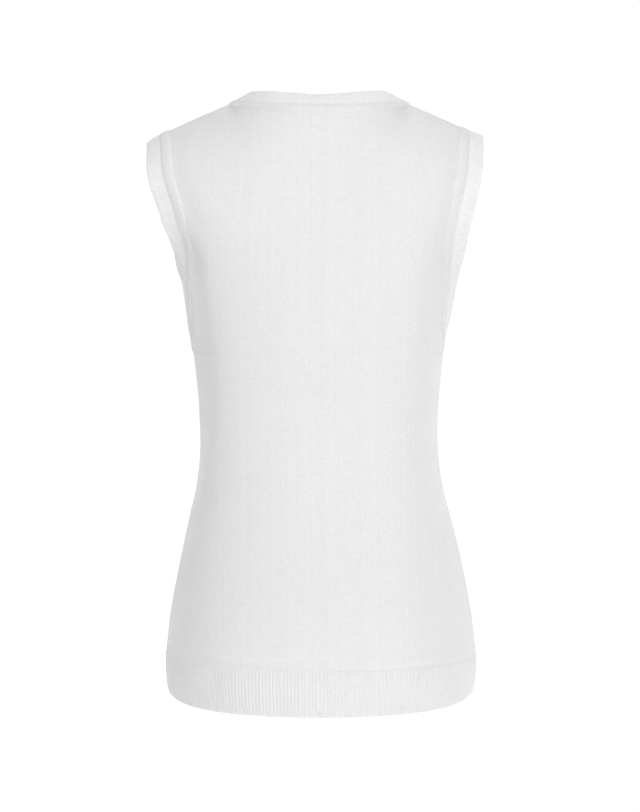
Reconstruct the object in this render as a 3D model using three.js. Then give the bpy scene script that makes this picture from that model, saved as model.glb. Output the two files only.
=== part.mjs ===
// Knitted sweater vest, held in the shape it has when worn: a fine plain-knit back and front with side
// and shoulder seams, a ribbed hem, and ribbed bands round the V neck and both armholes.
// Millimetres. +Z up, +X to the wearer's left, +Y to the back. The origin is midway between the middles
// of the two shoulder seams, where the wearer holds the vest up.
import * as THREE from 'three';
import { mergeVertices } from 'three/addons/utils/BufferGeometryUtils.js';

// Cloth
const JERSEY_THICKNESS = 1.5;
const RIB_THICKNESS = 1.8; // at the bottom of the furrows
const RIB_RELIEF = 0.6; // height of a rib over its furrows
const RIB_PITCH = 3.5; // one rib and one furrow, the width of two stitches
const SEAM_GAP = 0.3; // between two pieces that are sewn or linked

// Heights of the garment's main lines
const HEM_Z = -578; // at the middle of the back and front
const HEM_SIDE_Z = -565.5; // at the side seams
const HEM_CURVE = 4.5; // the higher, the nearer to the side seams the hem starts to rise
const RIB_TOP_Z = -533;
const UNDERARM_Z = -232;
const V_POINT_LEVEL = -168;
const V_ROWS_START = 18; // how far below the V's point the front's rows start to close up

// Shoulders and neck
const SHOULDER_TIP = new THREE.Vector3(152, 8, -15);
const NECK_SIDE = new THREE.Vector3(88.5, 2, 13);
const BACK_NECK = { y: 70, z: 3.6 };
const FRONT_NECK = { y: -14, z: 19 }; // where the shoulder line would run on to, above the V
const NECK_SHARE = 4 / 7; // share of a panel's width, at its top, that the neck takes
const V_CURVE = 1.12; // 1 cuts the V straight in the flat panel, more bows its sides outwards
const BACK_NECK_TILT = { middle: 27, side: 66 }; // how far the cloth faces up along the back neck, degrees
const CORNER_SPREAD = 0.14; // how far the corner of neck and shoulder is felt across the panel below it
const CORNER_WEIGHTS = [0.1, 0.25, 0.3, 0.25, 0.1];

// Mesh divisions
const PANEL_COLUMNS = 28;
const BODY_ROWS = 9; // from the rib to the underarm
const ARMHOLE_ROWS = 10; // from the underarm to the level where the shoulder starts to round over
const SHOULDER_ROWS = 9;
const ARMHOLE_CROWDING = 1.6; // over 1 crowds the rows where the armhole's edge runs level
const GIRTH_SAMPLES = 400; // steps in which the hem's girth is measured
const SLOPE_STEP = 0.004; // step across a panel, as a share of half its width, that slopes are read over
const MITRE_HALVINGS = 30; // steps in which the end of a line at the mitre is found
const SHORTEST_SIDE = 2e-3; // a triangle with a shorter side is left out
const WELD_DISTANCE = 1e-3; // points nearer than this are one

// Half the garment's width up the side seams, and above them the width that each panel's rows head for.
// sway is how far the middle of the worn garment hangs to the wearer's left.
const GIRTH = [
  { z: -580, half: 151.4, sway: -1.5 },
  { z: -566, half: 155.0, sway: -1.5 },
  { z: -550, half: 156.6, sway: -1.5 },
  { z: -530, half: 156.4, sway: -1.5 },
  { z: -510, half: 154.6, sway: -1.4 },
  { z: -485, half: 151.2, sway: -1.2 },
  { z: -455, half: 145.6, sway: -1.0 },
  { z: -425, half: 139.2, sway: -0.7 },
  { z: -395, half: 131.8, sway: -0.3 },
  { z: -370, half: 125.6, sway: 0 },
  { z: -345, half: 121.8, sway: 0.3 },
  { z: -315, half: 120.2, sway: 0.6 },
  { z: -285, half: 120.6, sway: 0.8 },
  { z: -258, half: 122.4, sway: 0.8 },
  { z: -232, half: 124.6, sway: 0.8 },
  { z: -216, half: 126.0, sway: 0.9 },
  { z: -188, half: 128.6, sway: 0.6 },
  { z: -157, half: 132.6, sway: 0 },
  { z: -129, half: 138.6, sway: -0.6 },
  { z: -100, half: 149.2, sway: -0.8 },
  { z: -80, half: 160.0, sway: -0.8 },
];

// The middle line of each panel: how far it stands from the side seams' plane, and how square the
// section is (1 is an ellipse, less is squarer).
const BACK_MIDDLE = [
  { z: -580, y: 118, square: 0.84 },
  { z: -533, y: 117, square: 0.86 },
  { z: -490, y: 114, square: 0.88 },
  { z: -440, y: 103, square: 0.89 },
  { z: -385, y: 89, square: 0.88 },
  { z: -330, y: 82, square: 0.84 },
  { z: -280, y: 87, square: 0.76 },
  { z: -225, y: 97, square: 0.67 },
  { z: -170, y: 104, square: 0.58 },
  { z: -135, y: 104.5, square: 0.51 },
  { z: -100, y: 100.5, square: 0.45 },
];
const FRONT_MIDDLE = [
  { z: -580, y: -98, square: 0.86 },
  { z: -533, y: -99, square: 0.88 },
  { z: -480, y: -101, square: 0.9 },
  { z: -430, y: -100, square: 0.9 },
  { z: -370, y: -95, square: 0.88 },
  { z: -320, y: -93, square: 0.84 },
  { z: -260, y: -104, square: 0.76 },
  { z: -200, y: -115, square: 0.68 },
  { z: -160, y: -112, square: 0.68 },
  { z: -120, y: -103, square: 0.72 },
  { z: -80, y: -93, square: 0.8 },
];

// The armhole edges. A panel's rows rise or droop towards them: level is a row's height at the middle of
// the panel, z its height at the edge, and wrap how far round the section the edge lies, in degrees.
const BACK_ARMHOLE = [
  { level: -232, z: -232, wrap: 90 },
  { level: -226, z: -229, wrap: 86 },
  { level: -214, z: -217, wrap: 80 },
  { level: -190, z: -189, wrap: 73.5 },
  { level: -160, z: -157, wrap: 69 },
  { level: -132, z: -129, wrap: 65 },
  { level: -100, z: -100, wrap: 60.5 },
];
const FRONT_ARMHOLE = [
  { level: -232, z: -232, wrap: 90 },
  { level: -226, z: -229, wrap: 83 },
  { level: -213, z: -216, wrap: 73 },
  { level: -188, z: -188, wrap: 63 },
  { level: -156, z: -154, wrap: 55.5 },
  { level: -120, z: -119, wrap: 50 },
  { level: -80, z: -82, wrap: 45 },
];

// How far the worn vest's armhole edges have slipped outwards on each side, by height.
const DRIFT = [
  { z: -600, left: 0, right: 0 },
  { z: -240, left: 0, right: 0 },
  { z: -225, left: 0.4, right: 0.2 },
  { z: -205, left: 1.8, right: 0.8 },
  { z: -180, left: 3.2, right: 1.2 },
  { z: -156, left: 3.4, right: 0.6 },
  { z: -131, left: 2.4, right: -1 },
  { z: -107, left: 2.6, right: -2.4 },
  { z: -82, left: 3.2, right: -3.2 },
  { z: -62, left: 4.5, right: -3.8 },
  { z: -48, left: 3.8, right: -5 },
  { z: -33, left: 0.6, right: -8.5 },
  { z: -20, left: -2, right: -11 },
  { z: 0, left: -2, right: -12 },
  { z: 40, left: -2, right: -12 },
];
const DRIFT_FALL = -0.42; // how far an edge rises for each millimetre that it slips, over the shoulder
const DRIFT_FALL_START = -60; // height where it starts to rise
const DRIFT_FALL_FULL = -20;

// Soft folds, as troughs from one end to the other, seen square to the panel. run is how far each end
// fades out.
const BACK_FOLDS = [
  { x: 121, z: -128, toX: 116, toZ: -190, depth: 3.2, width: 9, run: 26 },
  { x: -122, z: -122, toX: -117, toZ: -195, depth: 2.4, width: 10, run: 28 },
  { x: 139, z: -52, toX: 128, toZ: -84, depth: 1.6, width: 9, run: 26 },
  { x: -139, z: -52, toX: -128, toZ: -84, depth: 1.2, width: 9, run: 26 },
];
const FRONT_FOLDS = [
  { x: 104, z: -140, toX: 92, toZ: -182, depth: 2.6, width: 11, run: 28 },
  { x: -103, z: -146, toX: -94, toZ: -190, depth: 2.2, width: 12, run: 30 },
];

const BACK = {
  gap: SEAM_GAP / 2,
  middle: BACK_MIDDLE,
  armhole: BACK_ARMHOLE,
  roundOver: -100, // level where the panel starts to round over the shoulder
  crest: { middle: 27, side: 86 }, // how far the cloth leans in at the panel's top edge, degrees
  neck: BACK_NECK,
  folds: BACK_FOLDS,
};
const FRONT = {
  gap: -SEAM_GAP / 2,
  middle: FRONT_MIDDLE,
  armhole: FRONT_ARMHOLE,
  roundOver: -80,
  crest: { middle: 60, side: 86 },
  neck: FRONT_NECK,
  straightNeck: true,
  folds: FRONT_FOLDS,
  vPoint: V_POINT_LEVEL,
};
const SHOULDER_SPAN = 130; // level units from roundOver to the top edge, near its length over the shoulder
const SHOULDER_FULLNESS = 0.38; // how far a column keeps its course at either end, as a share of its chord

// The rib bands, from the seam outwards: w is the distance from the seam and h the height over the
// band's inner face. The linking ridge is plain and the rest is ribbed.
const BAND_WIDTH = 23;
const RIDGE = [
  { w: 0, h: 1.7 },
  { w: 1.6, h: 2.8 },
  { w: 6.2, h: 2.8 },
  { w: 7.8, h: 1.4 },
];
const RIB_START = 8.4;
const RIB_END = 22.4;
const LIP_HEIGHT = 0.9;
const ARMHOLE_EASE = 0.93; // length along the middle of a band, as a share of its seam's
const NECK_EASE = 0.95;
const MITRE_START = 0.5; // how far from the middle plane each end of the neckband starts, at its seam
const MITRE_LENGTH = 75; // no rib further than this along the seam reaches the mitre

// How much a band turns inwards (or outwards, below 0) over its width, in degrees.
const NECK_BEND = [
  { turn: 0, bend: 4 }, // at the V
  { turn: 0.55, bend: 2 },
  { turn: 0.8, bend: 8 },
  { turn: 0.9, bend: 25 },
  { turn: 1, bend: 36 }, // at the middle of the back
  { turn: 1.1, bend: 25 },
];
const ARMHOLE_BEND = [
  { rise: 0, left: -6, right: -10 }, // at the underarm
  { rise: 0.2, left: 26, right: 2 },
  { rise: 0.34, left: 18, right: -10 },
  { rise: 0.46, left: -20, right: -42 },
  { rise: 0.58, left: -29, right: -44 },
  { rise: 0.7, left: -16, right: -26 },
  { rise: 0.85, left: -4, right: -18 },
  { rise: 1, left: 12, right: -4 }, // at the shoulder
];

const radians = THREE.MathUtils.degToRad;
const mix = THREE.MathUtils.lerp;
const range = (count) => Array.from({ length: count + 1 }, (_, i) => i / count);

/** Reads one column of a table at a place along its key column, on a smooth curve through the rows. */
function read(table, key, column, place) {
  const last = table.length - 1;
  let i = 0;
  while (i < last - 1 && place > table[i + 1][key]) i += 1;
  const step = (k) => table[k + 1][key] - table[k][key];
  const slope = (k) => (table[k + 1][column] - table[k][column]) / step(k);
  const tangent = (k) => {
    if (last === 1) return slope(0);
    if (k === 0) return ((2 * step(0) + step(1)) * slope(0) - step(0) * slope(1)) / (step(0) + step(1));
    if (k === last) {
      const [near, far] = [step(k - 1), step(k - 2)];
      return ((2 * near + far) * slope(k - 1) - near * slope(k - 2)) / (near + far);
    }
    return (slope(k - 1) * step(k) + slope(k) * step(k - 1)) / (step(k - 1) + step(k));
  };
  const span = step(i);
  const t = (place - table[i][key]) / span;
  const rise = 3 * t * t - 2 * t * t * t;
  return mix(table[i][column], table[i + 1][column], rise)
    + span * t * (1 - t) * ((1 - t) * tangent(i) - t * tangent(i + 1));
}

/** A point on a row below the rounding of the shoulder. s runs from -1 to 1 across the panel. */
function rowPoint(panel, s, level) {
  const below = level < UNDERARM_Z;
  const edgeZ = below ? level : read(panel.armhole, 'level', 'z', level);
  const wrap = below ? 90 : read(panel.armhole, 'level', 'wrap', level);
  const turn = radians(s * wrap);
  const z = mix(level, edgeZ, s * s);
  const square = read(panel.middle, 'z', 'square', z);
  return new THREE.Vector3(
    read(GIRTH, 'z', 'sway', z) + read(GIRTH, 'z', 'half', z) * Math.sin(turn),
    read(panel.middle, 'z', 'y', z) * Math.max(Math.cos(turn), 0) ** square,
    z,
  );
}

/** A point on a panel's top edge: the neck line in the middle and a shoulder seam at each side. */
function topPoint(panel, s) {
  const side = Math.abs(s);
  const sign = s < 0 ? -1 : 1;
  if (side >= NECK_SHARE) {
    const point = NECK_SIDE.clone().lerp(SHOULDER_TIP, (side - NECK_SHARE) / (1 - NECK_SHARE));
    return point.setX(sign * point.x);
  }
  const turn = (Math.PI / 2) * (side / NECK_SHARE);
  const forward = panel.straightNeck ? 1 - side / NECK_SHARE : Math.cos(turn);
  return new THREE.Vector3(
    sign * NECK_SIDE.x * (panel.straightNeck ? side / NECK_SHARE : Math.sin(turn)),
    mix(NECK_SIDE.y, panel.neck.y, forward),
    mix(NECK_SIDE.z, panel.neck.z, forward),
  );
}

/** The top edge as a column heads for it, with its corners smoothed off the further below it one is. */
function aimPoint(panel, s, share) {
  const spread = CORNER_SPREAD * (1 - share);
  const aim = new THREE.Vector3();
  CORNER_WEIGHTS.forEach((weight, i) => {
    const aside = (i - (CORNER_WEIGHTS.length - 1) / 2) * spread;
    aim.addScaledVector(topPoint(panel, THREE.MathUtils.clamp(s + aside, -1, 1)), weight);
  });
  return aim;
}

/** How deep the folds press in at a point, with x and z seen square to the panel. */
function foldDepth(folds, x, z) {
  return folds.reduce((depth, fold) => {
    const [runX, runZ] = [fold.toX - fold.x, fold.toZ - fold.z];
    const length = Math.hypot(runX, runZ);
    const forward = ((x - fold.x) * runX + (z - fold.z) * runZ) / length;
    const aside = ((x - fold.x) * runZ - (z - fold.z) * runX) / length;
    const past = Math.max(-forward, forward - length, 0);
    return depth + fold.depth * Math.exp(-((aside / fold.width) ** 2) - (past / fold.run) ** 2);
  }, 0);
}

/** How far the cloth at a place has slipped on the wearer, most of all at the armhole edges. */
function drift(s, z) {
  const { smoothstep } = THREE.MathUtils;
  const slip = read(DRIFT, 'z', s > 0 ? 'left' : 'right', z) * smoothstep(Math.abs(s), NECK_SHARE, 1);
  const rise = slip * DRIFT_FALL * smoothstep(z, DRIFT_FALL_START, DRIFT_FALL_FULL);
  return new THREE.Vector3(slip * Math.sign(s), 0, rise);
}

/** A point of a panel's outer face. Above roundOver a column runs on in one curve to the top edge. */
function panelPoint(panel, s, level) {
  const start = rowPoint(panel, s, Math.min(level, panel.roundOver));
  let point = start.clone();
  if (level > panel.roundOver) {
    const share = (level - panel.roundOver) / SHOULDER_SPAN;
    const end = aimPoint(panel, s, share);
    const toSide = THREE.MathUtils.smoothstep(Math.abs(s), 0, NECK_SHARE);
    const crest = radians(mix(panel.crest.middle, panel.crest.side, toSide));
    const leave = start.clone().sub(rowPoint(panel, s, panel.roundOver - 1)).normalize();
    const arrive = new THREE.Vector3(0, -Math.sign(panel.gap) * Math.sin(crest), Math.cos(crest));
    const reach = SHOULDER_FULLNESS * start.distanceTo(end);
    point = new THREE.CubicBezierCurve3(
      start,
      start.clone().addScaledVector(leave, reach),
      end.clone().addScaledVector(arrive, -reach),
      end,
    ).getPoint(share);
  }
  point.add(drift(s, point.z));
  const away = new THREE.Vector3(point.x, point.y, 0).normalize();
  point.addScaledVector(away, -foldDepth(panel.folds, point.x, point.z));
  point.y += panel.gap;
  return point;
}

/** The level of a row at one place across a panel. The front's upper rows close up under the V. */
function rowLevel(panel, s, row) {
  const top = panel.roundOver + SHOULDER_SPAN;
  if (panel.vPoint === undefined) return row;
  const base = panel.vPoint - V_ROWS_START;
  if (row <= base) return row;
  const toSide = Math.min(Math.abs(s) / NECK_SHARE, 1);
  const cut = mix(panel.vPoint, top, toSide ** V_CURVE);
  return mix(base, cut, (row - base) / (top - base));
}

/** The cloth's outward normal at a point of a panel, from its slopes to either side and up and down. */
function panelNormal(panel, s, row) {
  const rise = SLOPE_STEP * SHOULDER_SPAN;
  const [low, high] = [RIB_TOP_Z, panel.roundOver + SHOULDER_SPAN];
  const at = (across, level) => panelPoint(panel, across, rowLevel(panel, across, level));
  const up = at(s, Math.min(row + rise, high)).sub(at(s, Math.max(row - rise, low)));
  const across = at(Math.min(s + SLOPE_STEP, 1), row).sub(at(Math.max(s - SLOPE_STEP, -1), row));
  return new THREE.Vector3().crossVectors(across, up).multiplyScalar(-Math.sign(panel.gap)).normalize();
}

/** The cloth's normal along the back neck line. */
function backNeckNormal(s) {
  const edge = topPoint(BACK, s);
  const toSide = Math.min(Math.abs(s) / NECK_SHARE, 1);
  const tilt = radians(mix(BACK_NECK_TILT.middle, BACK_NECK_TILT.side, toSide ** 2));
  const depth = BACK_NECK.y - NECK_SIDE.y;
  const plan = new THREE.Vector3(edge.x / NECK_SIDE.x ** 2, (edge.y - NECK_SIDE.y) / depth ** 2, 0);
  return plan.normalize().multiplyScalar(Math.cos(tilt)).setZ(Math.sin(tilt));
}

/** Outer points and normals of a panel, row by row. */
function panelGrid(panel, rows, columns) {
  const grid = (make) => rows.map((row) => columns.map((s) => make(s, row)));
  const top = rows[rows.length - 1];
  return {
    points: grid((s, row) => panelPoint(panel, s, rowLevel(panel, s, row))),
    normals: grid((s, row) => (panel === BACK && row === top && Math.abs(s) < NECK_SHARE + 1e-9
      ? backNeckNormal(s) : panelNormal(panel, s, row))),
  };
}

/** Turns a list of corner triples into one closed body that faces out. */
function closedGeometry(triangles) {
  const solid = triangles.filter(([a, b, c]) => (
    Math.min(a.distanceTo(b), b.distanceTo(c), c.distanceTo(a)) > SHORTEST_SIDE
  ));
  const volume = solid.reduce((sum, [a, b, c]) => sum + a.dot(new THREE.Vector3().crossVectors(b, c)), 0);
  const facing = volume < 0 ? solid.map(([a, b, c]) => [a, c, b]) : solid;
  const places = facing.flat().flatMap((point) => point.toArray());
  const geometry = new THREE.BufferGeometry();
  geometry.setAttribute('position', new THREE.Float32BufferAttribute(places, 3));
  const merged = mergeVertices(geometry, WELD_DISTANCE);
  merged.computeVertexNormals();
  return merged;
}

/** Triangles between two lines of points, each { u, p }, whose u values run from 0 to 1. */
function bridge(lineA, lineB) {
  const triangles = [];
  let [a, b] = [0, 0];
  while (a < lineA.length - 1 || b < lineB.length - 1) {
    const stepA = b === lineB.length - 1
      || (a < lineA.length - 1 && lineA[a + 1].u <= lineB[b + 1].u);
    if (stepA) {
      triangles.push([lineA[a].p, lineA[a + 1].p, lineB[b].p]);
      a += 1;
    } else {
      triangles.push([lineA[a].p, lineB[b + 1].p, lineB[b].p]);
      b += 1;
    }
  }
  return triangles;
}

/** A band whose surface runs over lines of points in turn and back to the first, with flat ends. */
function wrapLines(lines) {
  const triangles = lines.flatMap((line, i) => bridge(line, lines[(i + 1) % lines.length]));
  const starts = lines.map((line) => line[0].p);
  const ends = lines.map((line) => line[line.length - 1].p);
  if (starts[0].distanceTo(ends[0]) > SEAM_GAP) {
    for (let i = 1; i < lines.length - 1; i += 1) {
      triangles.push([starts[0], starts[i], starts[i + 1]], [ends[0], ends[i + 1], ends[i]]);
    }
  }
  return closedGeometry(triangles);
}

/** A wall between an outer and an inner grid of points, each a list of rows. */
function wrapGrids(outer, inner) {
  const asLine = (points) => points.map((p, i) => ({ u: i / (points.length - 1), p }));
  const row = (grid, r) => asLine(grid[r]);
  const column = (grid, c) => asLine(grid.map((line) => line[c]));
  const [lastRow, lastColumn] = [outer.length - 1, outer[0].length - 1];
  const triangles = [
    ...bridge(row(inner, 0), row(outer, 0)),
    ...bridge(row(outer, lastRow), row(inner, lastRow)),
    ...bridge(column(outer, 0), column(inner, 0)),
    ...bridge(column(inner, lastColumn), column(outer, lastColumn)),
  ];
  for (let r = 0; r < lastRow; r += 1) {
    for (let c = 0; c < lastColumn; c += 1) {
      const corners = (grid) => [grid[r][c], grid[r][c + 1], grid[r + 1][c + 1], grid[r + 1][c]];
      const [a, b, e, d] = corners(outer);
      const [i, j, k, l] = corners(inner);
      if (a.distanceTo(e) < b.distanceTo(d)) triangles.push([a, b, e], [a, e, d], [i, k, j], [i, l, k]);
      else triangles.push([a, b, d], [b, e, d], [i, l, j], [j, l, k]);
    }
  }
  return closedGeometry(triangles);
}

/** Moves a seam's normal into the plane that is square to one axis, so that sewn walls stay parallel. */
function flattenNormal(normal, axis) {
  return normal.setComponent(axis, 0).normalize();
}

/** The wall of a panel, with its outer grid kept for the bands that are joined to it. */
function makePanel(panel) {
  const bottom = RIB_TOP_Z + SEAM_GAP / 2;
  const top = panel.roundOver + SHOULDER_SPAN;
  const rows = [
    ...range(BODY_ROWS).map((t) => mix(bottom, UNDERARM_Z, t)),
    ...range(ARMHOLE_ROWS).slice(1).map((t) => mix(UNDERARM_Z, panel.roundOver, t ** ARMHOLE_CROWDING)),
    ...range(SHOULDER_ROWS).slice(1).map((t) => mix(panel.roundOver, top, t)),
  ];
  const columns = range(PANEL_COLUMNS).map((t) => 2 * t - 1);
  const { points, normals } = panelGrid(panel, rows, columns);
  normals.forEach((line, r) => line.forEach((normal, c) => {
    const onSideSeam = (c === 0 || c === PANEL_COLUMNS) && rows[r] <= UNDERARM_Z;
    const onShoulder = r === rows.length - 1 && Math.abs(columns[c]) >= NECK_SHARE - 1e-9;
    if (onSideSeam || onShoulder) flattenNormal(normal, 1);
    if (r === 0) flattenNormal(normal, 2);
  }));
  const inner = points.map((line, r) => line.map((p, c) => (
    p.clone().addScaledVector(normals[r][c], -JERSEY_THICKNESS)
  )));
  return { geometry: wrapGrids(points, inner), points, normals };
}

/** Height of a rib's profile: ribs and furrows in turn. */
const ribHeight = (index) => RIB_THICKNESS + (index % 2 === 0 ? 0 : RIB_RELIEF);

/** The ribbed hem under one panel. */
function makeHem(panel) {
  const top = RIB_TOP_Z - SEAM_GAP / 2;
  const bottomAt = (s) => mix(HEM_Z, HEM_SIDE_Z, Math.abs(s) ** HEM_CURVE);
  const surface = (s, level) => panelPoint(panel, s, level);
  const normalAt = (s, level) => {
    const before = surface(Math.max(s - SLOPE_STEP, -1), level);
    const across = surface(Math.min(s + SLOPE_STEP, 1), level).sub(before);
    const normal = new THREE.Vector3(across.y, -across.x, 0).normalize();
    return panel.gap > 0 ? normal.negate() : normal;
  };
  const samples = range(GIRTH_SAMPLES).map((t) => 2 * t - 1);
  const lengths = [0];
  samples.slice(1).forEach((s, i) => {
    lengths.push(lengths[i] + surface(s, top).distanceTo(surface(samples[i], top)));
  });
  const girth = lengths[lengths.length - 1];
  const ribs = Math.round(girth / RIB_PITCH);
  const acrossAt = (share) => {
    const k = lengths.findIndex((length) => length >= share * girth - 1e-9);
    if (k === 0) return -1;
    const part = (share * girth - lengths[k - 1]) / (lengths[k] - lengths[k - 1]);
    return mix(samples[k - 1], samples[k], part);
  };
  const line = (count, levelAt, heightAt) => range(count).map((u, i) => {
    const s = acrossAt(u);
    const level = levelAt(s);
    const normal = normalAt(s, level);
    if (i === 0 || i === count) flattenNormal(normal, 1);
    return { u, p: surface(s, level).setZ(level).addScaledVector(normal, heightAt(i) - JERSEY_THICKNESS) };
  });
  return wrapLines([
    line(2 * ribs, () => top, ribHeight),
    line(2 * ribs, bottomAt, ribHeight),
    line(PANEL_COLUMNS, bottomAt, () => 0),
    line(PANEL_COLUMNS, () => top, () => 0),
  ]);
}

/**
 * A seam line as a table with a row for each edge point: u from 0 to 1 along it, the place, the cloth's
 * normal (nx, ny, nz), the direction off the panel (dx, dy, dz) and the band's bend.
 */
function seamTable(edge, bendAt) {
  const last = edge.length - 1;
  const closed = edge[0] === edge[last];
  const neighbour = (i) => {
    if (closed) return edge[(i + last) % last];
    return edge[THREE.MathUtils.clamp(i, 0, last)];
  };
  let length = 0;
  const table = edge.map(({ p, n }, i) => {
    const along = new THREE.Vector3().subVectors(neighbour(i + 1).p, neighbour(i - 1).p);
    const off = new THREE.Vector3().crossVectors(n, along).normalize();
    if (i > 0) length += p.distanceTo(edge[i - 1].p);
    return {
      u: length, bend: bendAt(i, p),
      x: p.x, y: p.y, z: p.z, nx: n.x, ny: n.y, nz: n.z, dx: off.x, dy: off.y, dz: off.z,
    };
  });
  table.forEach((row) => { row.u /= length; });
  const places = table.map(({ u }) => u);
  if (closed) {
    // Rows past both ends let the curves run smoothly through the start.
    table.unshift(...table.slice(last - 2, last).map((row) => ({ ...row, u: row.u - 1 })));
    table.push(...table.slice(3, 5).map((row) => ({ ...row, u: row.u + 1 })));
  }
  return { table, places, length };
}

/** A point of a band: u along the seam, w out from it, h over the band's inner face. */
function bandPoint(table, u, w, h) {
  const at = (column) => read(table, 'u', column, u);
  const base = new THREE.Vector3(at('x'), at('y'), at('z'));
  const normal = new THREE.Vector3(at('nx'), at('ny'), at('nz')).normalize();
  const off = new THREE.Vector3(at('dx'), at('dy'), at('dz'));
  off.addScaledVector(normal, -off.dot(normal)).normalize();
  const bend = radians(at('bend')) + 1e-6;
  const angle = bend * (w / BAND_WIDTH);
  const reach = BAND_WIDTH / bend;
  return base
    .addScaledVector(normal, -JERSEY_THICKNESS)
    .addScaledVector(off, SEAM_GAP + reach * Math.sin(angle) + h * Math.sin(angle))
    .addScaledVector(normal, -reach * (1 - Math.cos(angle)) + h * Math.cos(angle));
}

/** Height of a band's outer face over its inner face. relief is 0 in a furrow and 1 on a rib. */
function bandHeight(w, relief) {
  const ribbed = RIB_THICKNESS + RIB_RELIEF * relief;
  const steps = [...RIDGE, { w: RIB_START, h: ribbed }, { w: RIB_END, h: ribbed },
    { w: BAND_WIDTH, h: LIP_HEIGHT }];
  const k = steps.findIndex((step) => w <= step.w + 1e-9);
  if (k <= 0) return steps[0].h;
  return mix(steps[k - 1].h, steps[k].h, (w - steps[k - 1].w) / (steps[k].w - steps[k - 1].w));
}

/**
 * A ribbed band along a seam. coarse and fine are places along it: the plain parts turn at the coarse
 * ones, and ribs and furrows alternate at the fine ones. Where sideOf gives 1 or -1, the band is cut
 * off in a mitre that keeps it on that side of the middle plane.
 */
function makeBand(table, coarse, fine, sideOf) {
  const reliefAt = (u) => {
    const k = fine.findIndex((place) => place >= u - 1e-9);
    if (k <= 0) return 0;
    const part = (u - fine[k - 1]) / (fine[k] - fine[k - 1]);
    return k % 2 === 0 ? 1 - part : part;
  };
  const pointAt = (u, w, outer) => bandPoint(table, u, w, outer ? bandHeight(w, reliefAt(u)) : 0);
  const reachAt = (u, outer) => {
    const side = sideOf(u);
    const isClear = (w) => side === 0 || side * pointAt(u, w, outer).x >= SEAM_GAP / 2;
    if (isClear(BAND_WIDTH)) return BAND_WIDTH;
    let [low, high] = [0, BAND_WIDTH];
    for (let i = 0; i < MITRE_HALVINGS; i += 1) {
      const middle = (low + high) / 2;
      if (isClear(middle)) low = middle;
      else high = middle;
    }
    return low;
  };
  const line = (places, w, outer) => places.map((u) => (
    { u, p: pointAt(u, Math.min(w, reachAt(u, outer)), outer) }
  ));
  return wrapLines([
    ...RIDGE.map((step) => line(coarse, step.w, true)),
    line(fine, RIB_START, true),
    line(fine, RIB_END, true),
    line(coarse, BAND_WIDTH, true),
    line(coarse, BAND_WIDTH, false),
    line(coarse, RIB_START, false),
    line(coarse, 0, false),
  ]);
}

/** Places of ribs and furrows in turn along a band, an even number so that a closed band matches. */
function ribPlaces(length) {
  return range(2 * Math.round(length / RIB_PITCH));
}

/** An edge point shared by two panels, midway between them. */
function joined(a, b) {
  return {
    p: a.p.clone().lerp(b.p, 0.5),
    n: a.n.clone().add(b.n).normalize(),
  };
}

/** The band round one armhole. side is 1 for the wearer's left and -1 for the right. */
function makeArmholeBand(back, front, side) {
  const column = side > 0 ? PANEL_COLUMNS : 0;
  const first = BODY_ROWS;
  const pick = (grid) => grid.points.slice(first).map((line, i) => ({
    p: line[column], n: grid.normals[first + i][column],
  }));
  const [up, down] = [pick(back), pick(front).reverse()];
  const underarm = joined(up[0], down[down.length - 1]);
  const shoulder = joined(up[up.length - 1], down[0]);
  const edge = [underarm, ...up.slice(1, -1), shoulder, ...down.slice(1, -1), underarm];
  const heights = edge.map(({ p }) => p.z);
  const [low, high] = [Math.min(...heights), Math.max(...heights)];
  const bendAt = (_, p) => (
    read(ARMHOLE_BEND, 'rise', side > 0 ? 'left' : 'right', (p.z - low) / (high - low))
  );
  const { table, places, length } = seamTable(side > 0 ? edge : edge.reverse(), bendAt);
  return makeBand(table, places, ribPlaces(ARMHOLE_EASE * length), () => 0);
}

/** The neckband, from the V up one side, round the back and down to the V again. */
function makeNeckband(back, front) {
  const half = PANEL_COLUMNS / 2;
  const reach = Math.round(NECK_SHARE * half);
  const pick = (grid, from, to) => {
    const r = grid.points.length - 1;
    const step = Math.sign(to - from);
    return range(Math.abs(to - from)).map((_, i) => ({
      p: grid.points[r][from + i * step], n: grid.normals[r][from + i * step],
    }));
  };
  const left = pick(front, half, half + reach);
  const over = pick(back, half + reach, half - reach);
  const right = pick(front, half - reach, half);
  const edge = [
    ...left.slice(0, -1),
    joined(left[left.length - 1], over[0]),
    ...over.slice(1, -1),
    joined(over[over.length - 1], right[0]),
    ...right.slice(1),
  ];
  const last = edge.length - 1;
  [[edge[0], edge[1]], [edge[last], edge[last - 1]]].forEach(([end, next]) => {
    end.p = end.p.clone().lerp(next.p, MITRE_START / Math.abs(next.p.x));
    end.n = next.n.clone();
  });
  const bendAt = (i) => read(NECK_BEND, 'turn', 'bend', 1 - Math.abs(2 * i / last - 1));
  const { table, places, length } = seamTable(edge, bendAt);
  const sideOf = (u) => {
    if (Math.min(u, 1 - u) * length > MITRE_LENGTH) return 0;
    return u < 0.5 ? 1 : -1;
  };
  const fine = ribPlaces(NECK_EASE * length);
  const coarse = [
    ...places.filter((u) => sideOf(u) === 0),
    ...fine.filter((u) => sideOf(u) !== 0),
  ].sort((a, b) => a - b);
  return makeBand(table, coarse, fine, sideOf);
}

const JERSEY = new THREE.MeshStandardMaterial({ color: 0xf1f0ee, roughness: 0.92, metalness: 0 });
const RIB = new THREE.MeshStandardMaterial({ color: 0xedecea, roughness: 0.94, metalness: 0 });

function addPiece(group, name, geometry, material) {
  const mesh = new THREE.Mesh(geometry, material);
  mesh.name = name;
  group.add(mesh);
}

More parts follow.
